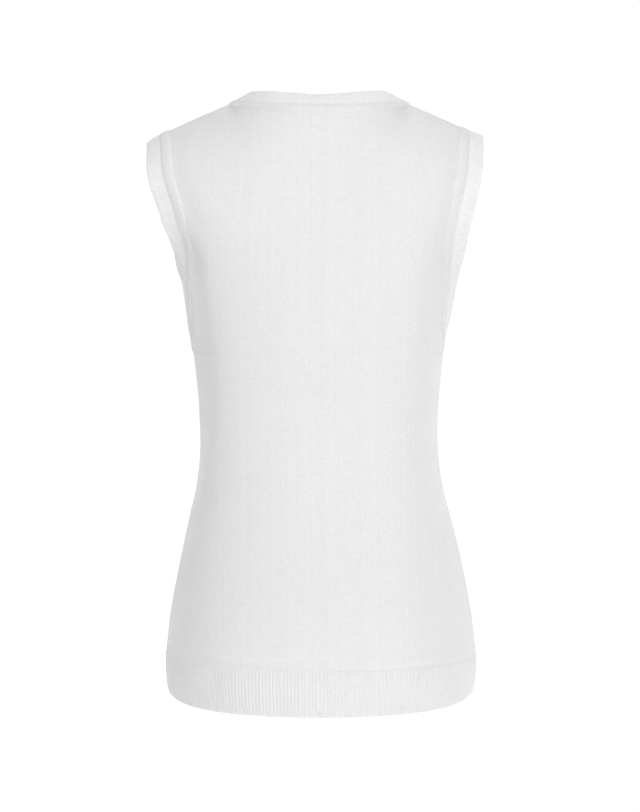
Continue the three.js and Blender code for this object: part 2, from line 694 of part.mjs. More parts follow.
const vest = new THREE.Group();
const back = makePanel(BACK);
const front = makePanel(FRONT);
addPiece(vest, 'back_panel', back.geometry, JERSEY);
addPiece(vest, 'front_panel', front.geometry, JERSEY);
addPiece(vest, 'hem_rib_back', makeHem(BACK), RIB);
addPiece(vest, 'hem_rib_front', makeHem(FRONT), RIB);
addPiece(vest, 'armhole_band_left', makeArmholeBand(back, front, 1), RIB);
addPiece(vest, 'armhole_band_right', makeArmholeBand(back, front, -1), RIB);
addPiece(vest, 'neckband', makeNeckband(back, front), RIB);

export default vest;
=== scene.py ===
"""A fine-knit sleeveless vest in the shape that it has when worn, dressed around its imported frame.

Sizes are in millimetres in the vest's own frame (+Z up, +X to the wearer's left, +Y to its back), and
become metres when a mesh is made.
"""

from __future__ import annotations

import logging
import math
from collections.abc import Mapping, Sequence
from dataclasses import dataclass, field
from enum import Enum
from typing import Any, Union

import bpy
import numpy as np
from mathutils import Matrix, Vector

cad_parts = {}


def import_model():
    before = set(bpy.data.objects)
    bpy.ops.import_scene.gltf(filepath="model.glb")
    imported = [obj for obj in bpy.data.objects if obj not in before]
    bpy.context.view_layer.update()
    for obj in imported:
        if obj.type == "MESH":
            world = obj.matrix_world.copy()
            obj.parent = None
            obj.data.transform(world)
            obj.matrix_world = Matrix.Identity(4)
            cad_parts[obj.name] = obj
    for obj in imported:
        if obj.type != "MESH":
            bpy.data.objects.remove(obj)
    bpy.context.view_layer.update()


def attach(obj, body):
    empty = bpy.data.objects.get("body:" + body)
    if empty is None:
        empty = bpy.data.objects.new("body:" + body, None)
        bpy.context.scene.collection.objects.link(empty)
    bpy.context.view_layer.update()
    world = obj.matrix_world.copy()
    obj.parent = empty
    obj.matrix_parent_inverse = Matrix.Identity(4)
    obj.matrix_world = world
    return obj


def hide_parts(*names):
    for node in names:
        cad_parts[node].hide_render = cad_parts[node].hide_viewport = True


LOG = logging.getLogger("vest")
MM = 0.001
BODY = "root"
KNIT_MAP = "Knit"
# Numbers that should match may differ by this much.
TINY = 1e-9

Array = np.ndarray
Number = Union[float, "Value"]

# Cloth
JERSEY_THICKNESS = 1.5
RIB_THICKNESS = 1.8
RIB_PITCH = 3.5
WALE = RIB_PITCH / 2
COURSE = 1.25

# Heights of the garment's main lines
HEM_Z = -578.0
HEM_SIDE_Z = -565.5
HEM_CURVE = 4.5
RIB_TOP_Z = -533.0
UNDERARM_Z = -232.0
V_POINT_LEVEL = -168.0
V_ROWS_START = 18.0

# Shoulders and neck
SHOULDER_TIP = np.array((152.0, 8.0, -15.0))
NECK_SIDE = np.array((88.5, 2.0, 13.0))
NECK_SHARE = 4 / 7
V_CURVE = 1.12
CORNER_SPREAD = 0.14
CORNER_TAPS = np.linspace(-4, 4, 9)
CORNER_WEIGHTS = np.exp(-((CORNER_TAPS / 2) ** 2))
SHOULDER_SPAN = 130.0
SHOULDER_FULLNESS = 0.38
SLOPE_STEP = 0.004


def mix(a: Array | float, b: Array | float, t: Array | float) -> Array | float:
    """Returns a value t of the way from a to b."""
    return a + (b - a) * t


def smooth_step(value: Array, low: float, high: float) -> Array:
    """Returns 0 below low and 1 above high, with a smooth rise between them."""
    t = np.clip((value - low) / (high - low), 0, 1)
    return t * t * (3 - 2 * t)


def length_of(vectors: Array) -> Array:
    """Returns the lengths of vectors, with their last axis kept."""
    return np.linalg.norm(vectors, axis=-1, keepdims=True)


def unit(vectors: Array) -> Array:
    """Returns vectors at length 1."""
    return vectors / np.maximum(length_of(vectors), TINY)


def stack(*parts: Array | float) -> Array:
    """Returns points made of x, y and z arrays."""
    return np.stack(np.broadcast_arrays(*parts), axis=-1).astype(float)


def paired(a: Array | float, b: Array | float) -> Sequence[Array]:
    """Returns two sets of numbers in the shape that they share."""
    return np.broadcast_arrays(np.asarray(a, float), np.asarray(b, float))


def run_along(points: Array, axis: int = 0) -> Array:
    """Measures along the lines of a grid of points.

    Args:
        points: The points.
        axis: The axis that the lines run along.

    Returns:
        How far each point lies from its line's start.
    """
    steps = np.linalg.norm(np.diff(points, axis=axis), axis=-1)
    start = np.zeros_like(np.take(steps, [0], axis=axis))
    return np.concatenate((start, np.cumsum(steps, axis=axis)), axis=axis)


@dataclass(frozen=True)
class Table:
    """Rows of numbers under named columns, read along the first one on smooth curves.

    Attributes:
        columns: The columns' names.
        rows: The rows, by the first column in rising order.
    """

    columns: tuple[str, ...]
    rows: Sequence[Sequence[float]] | Array

    def read(self, column: str, places: Array | float) -> Array:
        """Reads one column.

        Args:
            column: Its name.
            places: Values of the first column.

        Returns:
            The column's value at each place.
        """
        data = np.asarray(self.rows, float)
        key, value = data[:, 0], data[:, self.columns.index(column)]
        step = np.diff(key)
        tangent = self._tangents(step, np.diff(value) / step)
        place = np.asarray(places, float)
        i = np.searchsorted(key[1:-1], place, side="left")
        t = (place - key[i]) / step[i]
        rise = 3 * t**2 - 2 * t**3
        bow = step[i] * t * (1 - t) * ((1 - t) * tangent[i] - t * tangent[i + 1])
        return mix(value[i], value[i + 1], rise) + bow

    @staticmethod
    def _tangents(step: Array, slope: Array) -> Array:
        """Works out the slopes of a smooth curve.

        Args:
            step: The steps between rows.
            slope: The slopes between rows.

        Returns:
            The curve's slope at each row.
        """
        if len(slope) == 1:
            return np.array((slope[0], slope[0]))
        inner = (slope[:-1] * step[1:] + slope[1:] * step[:-1]) / (step[:-1] + step[1:])
        first = ((2 * step[0] + step[1]) * slope[0] - step[0] * slope[1]) / (step[0] + step[1])
        last = ((2 * step[-1] + step[-2]) * slope[-1] - step[-1] * slope[-2]) / (step[-1] + step[-2])
        return np.concatenate(((first,), inner, (last,)))


# Half the garment's width up the side seams, and above them the width that the panels' rows head for.
# sway is how far the middle hangs to the wearer's left.
GIRTH = Table(
    ("z", "half", "sway"),
    (
        (-580, 151.4, -1.5),
        (-566, 155.0, -1.5),
        (-550, 156.6, -1.5),
        (-530, 156.4, -1.5),
        (-510, 154.6, -1.4),
        (-485, 151.2, -1.2),
        (-455, 145.6, -1.0),
        (-425, 139.2, -0.7),
        (-395, 131.8, -0.3),
        (-370, 125.6, 0.0),
        (-345, 121.8, 0.3),
        (-315, 120.2, 0.6),
        (-285, 120.6, 0.8),
        (-258, 122.4, 0.8),
        (-232, 124.6, 0.8),
        (-216, 126.0, 0.9),
        (-188, 128.6, 0.6),
        (-157, 132.6, 0.0),
        (-129, 138.6, -0.6),
        (-100, 149.2, -0.8),
        (-80, 160.0, -0.8),
    ),
)

# The middle line of each panel: y is how far it stands from the side seams' plane, and square how square
# the section is (1 is an ellipse, less is squarer).
MIDDLE_COLUMNS = ("z", "y", "square")
BACK_MIDDLE = Table(
    MIDDLE_COLUMNS,
    (
        (-580, 118, 0.84),
        (-533, 117, 0.86),
        (-490, 114, 0.88),
        (-440, 103, 0.89),
        (-385, 89, 0.88),
        (-330, 82, 0.84),
        (-280, 87, 0.76),
        (-225, 97, 0.67),
        (-170, 104, 0.58),
        (-135, 104.5, 0.51),
        (-100, 100.5, 0.45),
    ),
)
FRONT_MIDDLE = Table(
    MIDDLE_COLUMNS,
    (
        (-580, -98, 0.86),
        (-533, -99, 0.88),
        (-480, -101, 0.9),
        (-430, -100, 0.9),
        (-370, -95, 0.88),
        (-320, -93, 0.84),
        (-260, -104, 0.76),
        (-200, -115, 0.68),
        (-160, -112, 0.68),
        (-120, -103, 0.72),
        (-80, -93, 0.8),
    ),
)

# The armhole edges: the height of a panel's rows there, and how far round the section the edge lies.
ARMHOLE_COLUMNS = ("level", "z", "wrap")
BACK_ARMHOLE = Table(
    ARMHOLE_COLUMNS,
    (
        (-232, -232, 90),
        (-226, -229, 86),
        (-214, -217, 80),
        (-190, -189, 73.5),
        (-160, -157, 69),
        (-132, -129, 65),
        (-100, -100, 60.5),
    ),
)
FRONT_ARMHOLE = Table(
    ARMHOLE_COLUMNS,
    (
        (-232, -232, 90),
        (-226, -229, 83),
        (-213, -216, 73),
        (-188, -188, 63),
        (-156, -154, 55.5),
        (-120, -119, 50),
        (-80, -82, 45),
    ),
)

# How far the worn vest's armhole edges have slipped outwards on each side, by height.
DRIFT = Table(
    ("z", "left", "right"),
    (
        (-600, 0, 0),
        (-240, 0, 0),
        (-225, 0.4, 0.2),
        (-205, 1.8, 0.8),
        (-180, 3.2, 1.2),
        (-156, 3.4, 0.6),
        (-131, 2.4, -1),
        (-107, 2.6, -2.4),
        (-82, 3.2, -3.2),
        (-62, 4.5, -3.8),
        (-48, 3.8, -5),
        (-33, 0.6, -8.5),
        (-20, -2, -11),
        (0, -2, -12),
        (40, -2, -12),
    ),
)
# How far the cloth falls or rises for each millimetre that it slips, over the shoulder.
DRIFT_FALL = -0.42
DRIFT_FALL_START = -60.0
DRIFT_FALL_FULL = -20.0

# How much a band turns inwards over its width, in degrees: round the neck from the V to the middle of
# the back, and up each armhole.
NECK_BEND = Table(("turn", "bend"), ((0, 4), (0.55, 2), (0.8, 8), (0.9, 25), (1, 36), (1.1, 25)))
ARMHOLE_BEND = Table(
    ("rise", "left", "right"),
    (
        (0, -6, -10),
        (0.2, 26, 2),
        (0.34, 18, -10),
        (0.46, -20, -42),
        (0.58, -29, -44),
        (0.7, -16, -26),
        (0.85, -4, -18),
        (1, 12, -4),
    ),
)


@dataclass(frozen=True)
class Fold:
    """A soft trough in the cloth, or a ridge where depth is below 0, seen square to its panel.

    Attributes:
        x: Across, where it starts.
        z: Height where it starts.
        to_x: Across, where it ends.
        to_z: Height where it ends.
        depth: How deep it is.
        width: Half its width.
        run: How far each end fades out.
    """

    x: float
    z: float
    to_x: float
    to_z: float
    depth: float
    width: float
    run: float

    def press(self, x: Array, z: Array) -> Array:
        """Works out what the fold does to the cloth.

        Args:
            x: Points' places across.
            z: Their heights.

        Returns:
            How far the fold presses in at each point.
        """
        run_x, run_z = self.to_x - self.x, self.to_z - self.z
        length = math.hypot(run_x, run_z)
        forward = ((x - self.x) * run_x + (z - self.z) * run_z) / length
        aside = ((x - self.x) * run_z - (z - self.z) * run_x) / length
        past = np.maximum(np.maximum(-forward, forward - length), 0)
        return self.depth * np.exp(-((aside / self.width) ** 2) - (past / self.run) ** 2)


@dataclass(frozen=True)
class PanelForm:
    """The worn form of a panel. A place on it is s, from -1 to 1 across, and a level up.

    Attributes:
        facing: 1 for the back and -1 for the front.
        middle: The panel's middle line.
        armhole: Its armhole edges.
        round_over: The level where it starts to round over the shoulder.
        crest: How far the cloth leans in at the top edge, at the middle and at the sides, in degrees.
        neck: y and z of the middle of the neck line.
        straight_neck: Whether the top edge runs straight between the neck sides.
        v_point: The level of the V's point, or None.
        folds: Its folds.
    """

    facing: float
    middle: Table
    armhole: Table
    round_over: float
    crest: tuple[float, float]
    neck: tuple[float, float]
    straight_neck: bool
    v_point: float | None
    folds: tuple[Fold, ...]

    @property
    def top(self) -> float:
        """The level of the top edge."""
        return self.round_over + SHOULDER_SPAN

    def row_point(self, s: Array, level: Array) -> Array:
        """Places points on rows below the rounding of the shoulder.

        Args:
            s: Their places across.
            level: Their levels.

        Returns:
            The points.
        """
        below = level < UNDERARM_Z
        edge_z = np.where(below, level, self.armhole.read("z", level))
        wrap = np.where(below, 90.0, self.armhole.read("wrap", level))
        turn = np.radians(s * wrap)
        z = mix(level, edge_z, s * s)
        x = GIRTH.read("sway", z) + GIRTH.read("half", z) * np.sin(turn)
        y = self.middle.read("y", z) * np.maximum(np.cos(turn), 0) ** self.middle.read("square", z)
        return stack(x, y, z)

    def top_point(self, s: Array) -> Array:
        """Places points on the top edge: the neck line, and a shoulder seam at each side.

        Args:
            s: Their places across.

        Returns:
            The points.
        """
        side = np.abs(s)
        share = np.clip(side / NECK_SHARE, 0, 1)
        turn = np.pi / 2 * share
        across = share if self.straight_neck else np.sin(turn)
        forward = 1 - share if self.straight_neck else np.cos(turn)
        neck = stack(
            NECK_SIDE[0] * across,
            mix(NECK_SIDE[1], self.neck[0], forward),
            mix(NECK_SIDE[2], self.neck[1], forward),
        )
        along = np.maximum((side - NECK_SHARE) / (1 - NECK_SHARE), 0)[..., None]
        point = np.where((side >= NECK_SHARE)[..., None], mix(NECK_SIDE, SHOULDER_TIP, along), neck)
        return point * stack(np.where(s < 0, -1.0, 1.0), 1.0, 1.0)

    def aim_point(self, s: Array, share: Array) -> Array:
        """Places the top edge that each column heads for, smoother the further below it one is.

        Args:
            s: Places across.
            share: How far up to the top edge a point is, from 0 to 1.

        Returns:
            The points headed for.
        """
        spread = CORNER_SPREAD * np.sqrt(1 - share)
        aims = (self.top_point(s + tap * spread) for tap in CORNER_TAPS)
        return sum(map(np.multiply, aims, CORNER_WEIGHTS)) / sum(CORNER_WEIGHTS)

    def point(self, s: Array, level: Array) -> Array:
        """Places points of the outer face, folds included.

        Args:
            s: Their places across.
            level: Their levels.

        Returns:
            The points.
        """
        s, level = paired(s, level)
        start = self.row_point(s, np.minimum(level, self.round_over))
        share = np.clip((level - self.round_over) / SHOULDER_SPAN, 0, 1)
        end = self.aim_point(s, share)
        crest = np.radians(mix(*self.crest, smooth_step(np.abs(s), 0, NECK_SHARE)))
        leave = unit(start - self.row_point(s, np.minimum(level, self.round_over) - 1))
        arrive = stack(0.0, -self.facing * np.sin(crest), np.cos(crest))
        reach = SHOULDER_FULLNESS * length_of(end - start)
        t = share[..., None]
        point = (
            (1 - t) ** 3 * start
            + 3 * (1 - t) ** 2 * t * (start + leave * reach)
            + 3 * (1 - t) * t**2 * (end - arrive * reach)
            + t**3 * end
        )
        point = point + self._drift(s, point[..., 2])
        away = unit(point * np.array((1.0, 1.0, 0.0)))
        press = sum(fold.press(point[..., 0], point[..., 2]) for fold in self.folds)
        return point - away * press[..., None]

    @staticmethod
    def _drift(s: Array, z: Array) -> Array:
        """Works out how far the cloth has slipped on the wearer, most of all at the armhole edges.

        Args:
            s: Places across.
            z: Heights.

        Returns:
            How far each point has moved.
        """
        slip = np.where(s > 0, DRIFT.read("left", z), DRIFT.read("right", z))
        slip = slip * smooth_step(np.abs(s), NECK_SHARE, 1)
        along_shoulder = smooth_step(z, DRIFT_FALL_START, DRIFT_FALL_FULL)
        return stack(slip * np.sign(s), 0.0, slip * DRIFT_FALL * along_shoulder)

    def level_of(self, s: Array, row: Array) -> Array:
        """Turns rows into levels. The front's upper rows close up under the V.

        Args:
            s: Places across.
            row: The rows.

        Returns:
            The levels.
        """
        s, row = paired(s, row)
        if self.v_point is None:
            return row
        base = self.v_point - V_ROWS_START
        to_side = np.minimum(np.abs(s) / NECK_SHARE, 1)
        cut = mix(self.v_point, self.top, to_side**V_CURVE)
        return np.where(row <= base, row, mix(base, cut, (row - base) / (self.top - base)))

    def at(self, s: Array, row: Array) -> Array:
        """Returns points of the outer face by row."""
        return self.point(s, self.level_of(s, row))

    def normal(self, s: Array, row: Array) -> Array:
        """Works out which way the cloth faces.

        Args:
            s: Places across.
            row: Rows.

        Returns:
            The outward normals.
        """
        s, row = paired(s, row)
        rise = SLOPE_STEP * SHOULDER_SPAN
        up = self.at(s, np.minimum(row + rise, self.top)) - self.at(s, np.maximum(row - rise, HEM_Z))
        across = self.at(np.minimum(s + SLOPE_STEP, 1), row) - self.at(np.maximum(s - SLOPE_STEP, -1), row)
        return unit(np.cross(across, up) * -self.facing)


BACK = PanelForm(
    facing=1.0,
    middle=BACK_MIDDLE,
    armhole=BACK_ARMHOLE,
    round_over=-100.0,
    crest=(27.0, 86.0),
    neck=(70.0, 3.6),
    straight_neck=False,
    v_point=None,
    folds=(
        Fold(128, -127, 123, -150, 4.2, 7, 10),
        Fold(118, -150, 111, -262, 2.0, 9, 34),
        Fold(-122, -122, -117, -195, 2.4, 10, 28),
        Fold(139, -52, 128, -84, 1.6, 9, 26),
        Fold(-139, -52, -128, -84, 1.2, 9, 26),
        Fold(119, -200, 114, -300, 1.2, 5, 30),
        Fold(116, -330, 147, -520, 1.3, 6, 60),
        Fold(-117, -215, -113, -300, 0.8, 6, 40),
    ),
)
FRONT = PanelForm(
    facing=-1.0,
    middle=FRONT_MIDDLE,
    armhole=FRONT_ARMHOLE,
    round_over=-80.0,
    crest=(60.0, 86.0),
    neck=(-14.0, 19.0),
    straight_neck=True,
    v_point=V_POINT_LEVEL,
    folds=(
        Fold(104, -140, 92, -182, 2.6, 11, 28),
        Fold(-103, -146, -94, -190, 2.2, 12, 30),
    ),
)


class Surface:
    """A piece of cloth as quads gathered from grids of points."""

    WELD_DIGITS = 7
    SHARP_ANGLE = math.radians(70)

    def __init__(self, name: str) -> None:
        """Starts an empty piece.

        Args:
            name: Its name.
        """
        self.name = name
        self._points: list[Array] = []
        self._knit: list[Array] = []
        self._faces: list[Array] = []
        self._finishes: list[Array] = []
        self._count = 0

    def add_grid(self, points: Array, knit: Array, finish: int = 0) -> None:
        """Adds a grid of quads.

        Args:
            points: Rows of points, in millimetres.
            knit: Each point's place on the knit, in wales and courses.
            finish: Which of the piece's finishes the quads wear.
        """
        rows, columns = points.shape[:2]
        at = self._count + np.arange(rows * columns).reshape(rows, columns)
        quads = np.stack((at[:-1, :-1], at[:-1, 1:], at[1:, 1:], at[1:, :-1]), axis=-1).reshape(-1, 4)
        self._points.append(points.reshape(-1, 3))
        self._knit.append(knit.reshape(-1, 2))
        self._faces.append(quads)
        self._finishes.append(np.full(len(quads), finish))
        self._count += rows * columns

    def add_shell(self, outer: Array, inner: Array, knit: Array) -> None:
        """Adds a wall between two grids, whose back wears the piece's second finish.

        Args:
            outer: Points of the outer face.
            inner: Points of the inner face, as many.
            knit: Their places on the knit.
        """
        self.add_grid(outer, knit)
        self.add_grid(inner[::-1], knit[::-1], 1)
        self.add_grid(np.stack((inner[0], outer[0])), np.stack((knit[0], knit[0])))
        self.add_grid(np.stack((outer[-1], inner[-1])), np.stack((knit[-1], knit[-1])))
        for first, second, side in ((inner, outer, 0), (outer, inner, -1)):
            edge = np.stack((first[:, side], second[:, side]), axis=1)
            self.add_grid(edge, np.stack((knit[:, side], knit[:, side]), axis=1))

    def add_cap(self, loop: Array, knit: Array, turned: bool) -> None:
        """Closes the end of a tube, whose last point repeats its first, with a fan.

        Args:
            loop: The end's outline.
            knit: Its places on the knit.
            turned: Whether the fan faces the other way.
        """
        middle = np.broadcast_to(loop[:-1].mean(axis=0), loop.shape)
        rows = (loop, middle) if turned else (middle, loop)
        self.add_grid(np.stack(rows), np.stack((knit, knit)))

    def build(self, finishes: Sequence[bpy.types.Material]) -> bpy.types.Object:
        """Welds the grids into one closed mesh that faces out.

        Args:
            finishes: The materials that the grids' finish numbers stand for.

        Returns:
            The object, linked to the scene.
        """
        points = np.concatenate(self._points) * MM
        knit = np.concatenate(self._knit)
        faces = np.concatenate(self._faces)
        finish = np.concatenate(self._finishes)
        rounded = np.round(points, self.WELD_DIGITS)
        _, first, weld = np.unique(rounded, axis=0, return_index=True, return_inverse=True)
        welded = weld.reshape(-1)[faces]
        corners = np.column_stack([welded != np.roll(welded, 1, axis=1)])
        whole = corners.sum(axis=1) >= 3
        welded, corners, faces, finish = welded[whole], corners[whole], faces[whole], finish[whole]
        opposite = (welded[:, 0] != welded[:, 2]) & (welded[:, 1] != welded[:, 3])
        welded, corners, faces, finish = (a[opposite] for a in (welded, corners, faces, finish))
        if self._volume(points[first], welded) < 0:
            welded, corners, faces = welded[:, ::-1], np.roll(corners, -1, axis=1)[:, ::-1], faces[:, ::-1]
            corners = welded != np.roll(welded, 1, axis=1)
        totals = corners.sum(axis=1)
        mesh = bpy.data.meshes.new(self.name)
        mesh.vertices.add(len(first))
        mesh.vertices.foreach_set("co", points[first].ravel())
        mesh.loops.add(int(totals.sum()))
        mesh.loops.foreach_set("vertex_index", welded[corners].astype(np.int32))
        mesh.polygons.add(len(totals))
        starts = np.concatenate(((0,), np.cumsum(totals)[:-1]))
        mesh.polygons.foreach_set("loop_start", starts.astype(np.int32))
        mesh.update(calc_edges=True)
        mesh.uv_layers.new(name=KNIT_MAP).data.foreach_set("uv", knit[faces[corners]].ravel())
        mesh.polygons.foreach_set("material_index", finish.astype(np.int32))
        mesh.polygons.foreach_set("use_smooth", np.ones(len(totals), bool))
        mesh.set_sharp_from_angle(angle=self.SHARP_ANGLE)
        mesh.validate()
        for material in finishes:
            mesh.materials.append(material)
        piece = bpy.data.objects.new(self.name, mesh)
        bpy.context.collection.objects.link(piece)
        return piece

    @staticmethod
    def _volume(points: Array, faces: Array) -> float:
        """Returns the volume inside quads, below 0 where they face in."""
        a, b, c, d = (points[faces[:, i]] for i in range(4))
        return float(np.einsum("ij,ij->", a, np.cross(b, c)) + np.einsum("ij,ij->", a, np.cross(c, d)))


@dataclass(frozen=True)
class Sheet:
    """What a piece was cut as.

    Attributes:
        width: The flat cut's width in metres.
        length: The flat cut's length in metres.
        area: Its area in square metres, or None for a rectangle.
    """

    width: float
    length: float
    area: float | None = None

    def declare(self, piece: bpy.types.Object, node: str, slot: str) -> bpy.types.Object:
        """Puts a piece on the frame and hides the solid that it stands for.

        Args:
            piece: The piece.
            node: The solid that it stands for.
            slot: Not used.

        Returns:
            The piece.
        """
        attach(piece, BODY)
        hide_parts(node)
        return piece


@dataclass(frozen=True)
class KnitPanel:
    """A plain-knit panel.

    Attributes:
        node: The solid that it stands for.
        form: Its worn form.
        cut: Its flat cut.
        columns: Quads across, a multiple of 14 so that one line meets each neck side.
        body_rows: Quads from the rib to the underarm.
        armhole_rows: Quads from there to where the shoulder rounds over.
        shoulder_rows: Quads over the shoulder.
        crowding: Over 1, the rows crowd where the armhole's edge runs level.
        groove_depth: How deep the cloth draws in at a seam.
        groove_width: How far from the seam that is felt.
        seam_bulk: How much thicker the wall is over a seam's turned-in edges.
        dip_depth: How deep the cloth dips beside a band.
        dip_width: How far from the band that is felt.
        strip: Height of the plain rows over the rib.
        strip_rise: How far they stand out.
        strip_edge: Over how much of the strip's top they rise to that.
        ripple: Height of the cloth's faint unevenness.
    """

    # The wall stands square to a seam where the seam is felt more than this.
    SEAM_SHARE = 0.5
    # The unevenness: long waves up the cloth that a slower one bends, and short ones both ways.
    LONG_WAVE = 23
    LONG_BEND = 41
    LONG_BEND_SIZE = 1.7
    SHORT_WAVES = ((13, 61), (17, 53))
    LONG_PART = 0.6

    node: str
    form: PanelForm
    cut: Sheet
    columns: int = 168
    body_rows: int = 104
    armhole_rows: int = 56
    shoulder_rows: int = 48
    crowding: float = 1.6
    groove_depth: float = 0.5
    groove_width: float = 2.2
    seam_bulk: float = 1.1
    dip_depth: float = 0.25
    dip_width: float = 9.0
    strip: float = 8.0
    strip_rise: float = 0.25
    strip_edge: float = 2.0
    ripple: float = 0.3

    def rows(self) -> Array:
        """Works out the panel's rows.

        Returns:
            Their levels at its sides.
        """
        low = np.linspace(RIB_TOP_Z, UNDERARM_Z, self.body_rows + 1)
        rise = np.linspace(0, 1, self.armhole_rows + 1)[1:] ** self.crowding
        over = np.linspace(self.form.round_over, self.form.top, self.shoulder_rows + 1)[1:]
        return np.concatenate((low, mix(UNDERARM_Z, self.form.round_over, rise), over))

    def build(self, finishes: Sequence[bpy.types.Material]) -> bpy.types.Object:
        """Makes the panel.

        Args:
            finishes: The knit's face and its back.

        Returns:
            The piece.
        """
        rows, across = self.rows(), np.linspace(-1, 1, self.columns + 1)
        s, row = np.meshgrid(across, rows)
        points, normals = self.form.at(s, row), self.form.normal(s, row)
        knit = self._knit(across, self.form.level_of(s, row))
        edge = self._seam_nearness(s, row, points)
        dip = self.dip_depth * np.exp(-((self._band_distance(s, row, points) / self.dip_width) ** 2))
        strip_top = -RIB_TOP_Z - self.strip
        over_rib = self.strip_rise * smooth_step(-points[..., 2], strip_top, strip_top + self.strip_edge)
        sunk = self.groove_depth * edge + dip - over_rib - self._unevenness(points)
        at_seam = (edge > self.SEAM_SHARE)[..., None]
        flat = np.where(at_seam, unit(normals * np.array((1.0, 0.0, 1.0))), normals)
        outer = points - normals * sunk[..., None]
        wall = JERSEY_THICKNESS + self.seam_bulk * edge - self.groove_depth * edge
        inner = points - flat * (wall + sunk)[..., None]
        outer[0, :, 2] = inner[0, :, 2] = RIB_TOP_Z
        surface = Surface(f"{self.node}_knit")
        surface.add_shell(outer, inner, knit)
        return self.cut.declare(surface.build(finishes), self.node, "jersey")

    def _knit(self, across: Array, levels: Array) -> Array:
        """Returns places on the knit, with wales of even width from the middle out.

        Args:
            across: The columns' places.
            levels: The level of each point.

        Returns:
            Wales and courses of each point.
        """
        ladder = np.linspace(RIB_TOP_Z, self.form.top, self.body_rows + 1)
        lattice = self.form.point(*np.meshgrid(across, ladder))
        aside, upward = run_along(lattice, axis=1), run_along(lattice)
        aside -= aside[:, [len(across) // 2]]
        wales = [np.interp(levels[:, c], ladder, aside[:, c]) for c in range(len(across))]
        courses = [np.interp(levels[:, c], ladder, upward[:, c]) for c in range(len(across))]
        return np.stack((np.array(wales).T / WALE, np.array(courses).T / COURSE), axis=-1)

    def _seam_nearness(self, s: Array, row: Array, points: Array) -> Array:
        """Works out where the side and shoulder seams are felt.

        Args:
            s: Places across.
            row: Rows.
            points: The points there.

        Returns:
            1 on a seam and 0 well away from one.
        """
        to_side, to_top = self._to_edges(points)
        side = np.exp(-((to_side / self.groove_width) ** 2)) * (row <= UNDERARM_Z)
        on_shoulder = np.abs(s) >= NECK_SHARE - TINY
        return np.maximum(side, np.exp(-((to_top / self.groove_width) ** 2)) * on_shoulder)

    def _band_distance(self, s: Array, row: Array, points: Array) -> Array:
        """Works out, roughly, how far each point is from the bands.

        Args:
            s: Places across.
            row: Rows.
            points: The points there.

        Returns:
            How far each is from the nearest armhole or neck edge.
        """
        to_side, to_top = self._to_edges(points)
        below = np.maximum(UNDERARM_Z - row, 0)
        past = np.maximum(np.abs(s) - NECK_SHARE, 0) * points[-1, -1, 0] * 2
        return np.minimum(np.hypot(to_side, below), np.hypot(to_top, past))

    @staticmethod
    def _to_edges(points: Array) -> tuple[Array, Array]:
        """Returns how far each point is from the nearer end of its row and from the top of its column."""
        to_sides = [np.linalg.norm(points - points[:, [side]], axis=-1) for side in (0, -1)]
        return np.minimum(*to_sides), np.linalg.norm(points - points[-1:], axis=-1)

    def _unevenness(self, points: Array) -> Array:
        """Works out the faint waves of cloth that is held out by its own stiffness.

        Args:
            points: Points of the cloth.

        Returns:
            How far the waves stand out there.
        """
        x, z = points[..., 0], points[..., 2]
        (across, up), (upward, aside) = self.SHORT_WAVES
        bend = self.LONG_BEND_SIZE * np.sin(x / self.LONG_BEND)
        long = np.sin(z / self.LONG_WAVE + bend + self.form.facing)
        short = np.sin(x / across + z / up) * np.sin(z / upward - x / aside)
        return self.ripple * mix(short, long, self.LONG_PART)


@dataclass(frozen=True)
class RibShape:
    """The round ribs of a one-by-one rib.

    Attributes:
        segments: Quads across a rib and its furrow.
        sharpness: The higher, the wider the ribs and the narrower the furrows.
    """

    segments: int = 8
    sharpness: float = 2.4

    def relief(self, phase: Array) -> Array:
        """Returns 0 in a furrow, at a whole phase, and 1 on a rib's crest."""
        return 1 - np.abs(2 * (phase % 1) - 1) ** self.sharpness


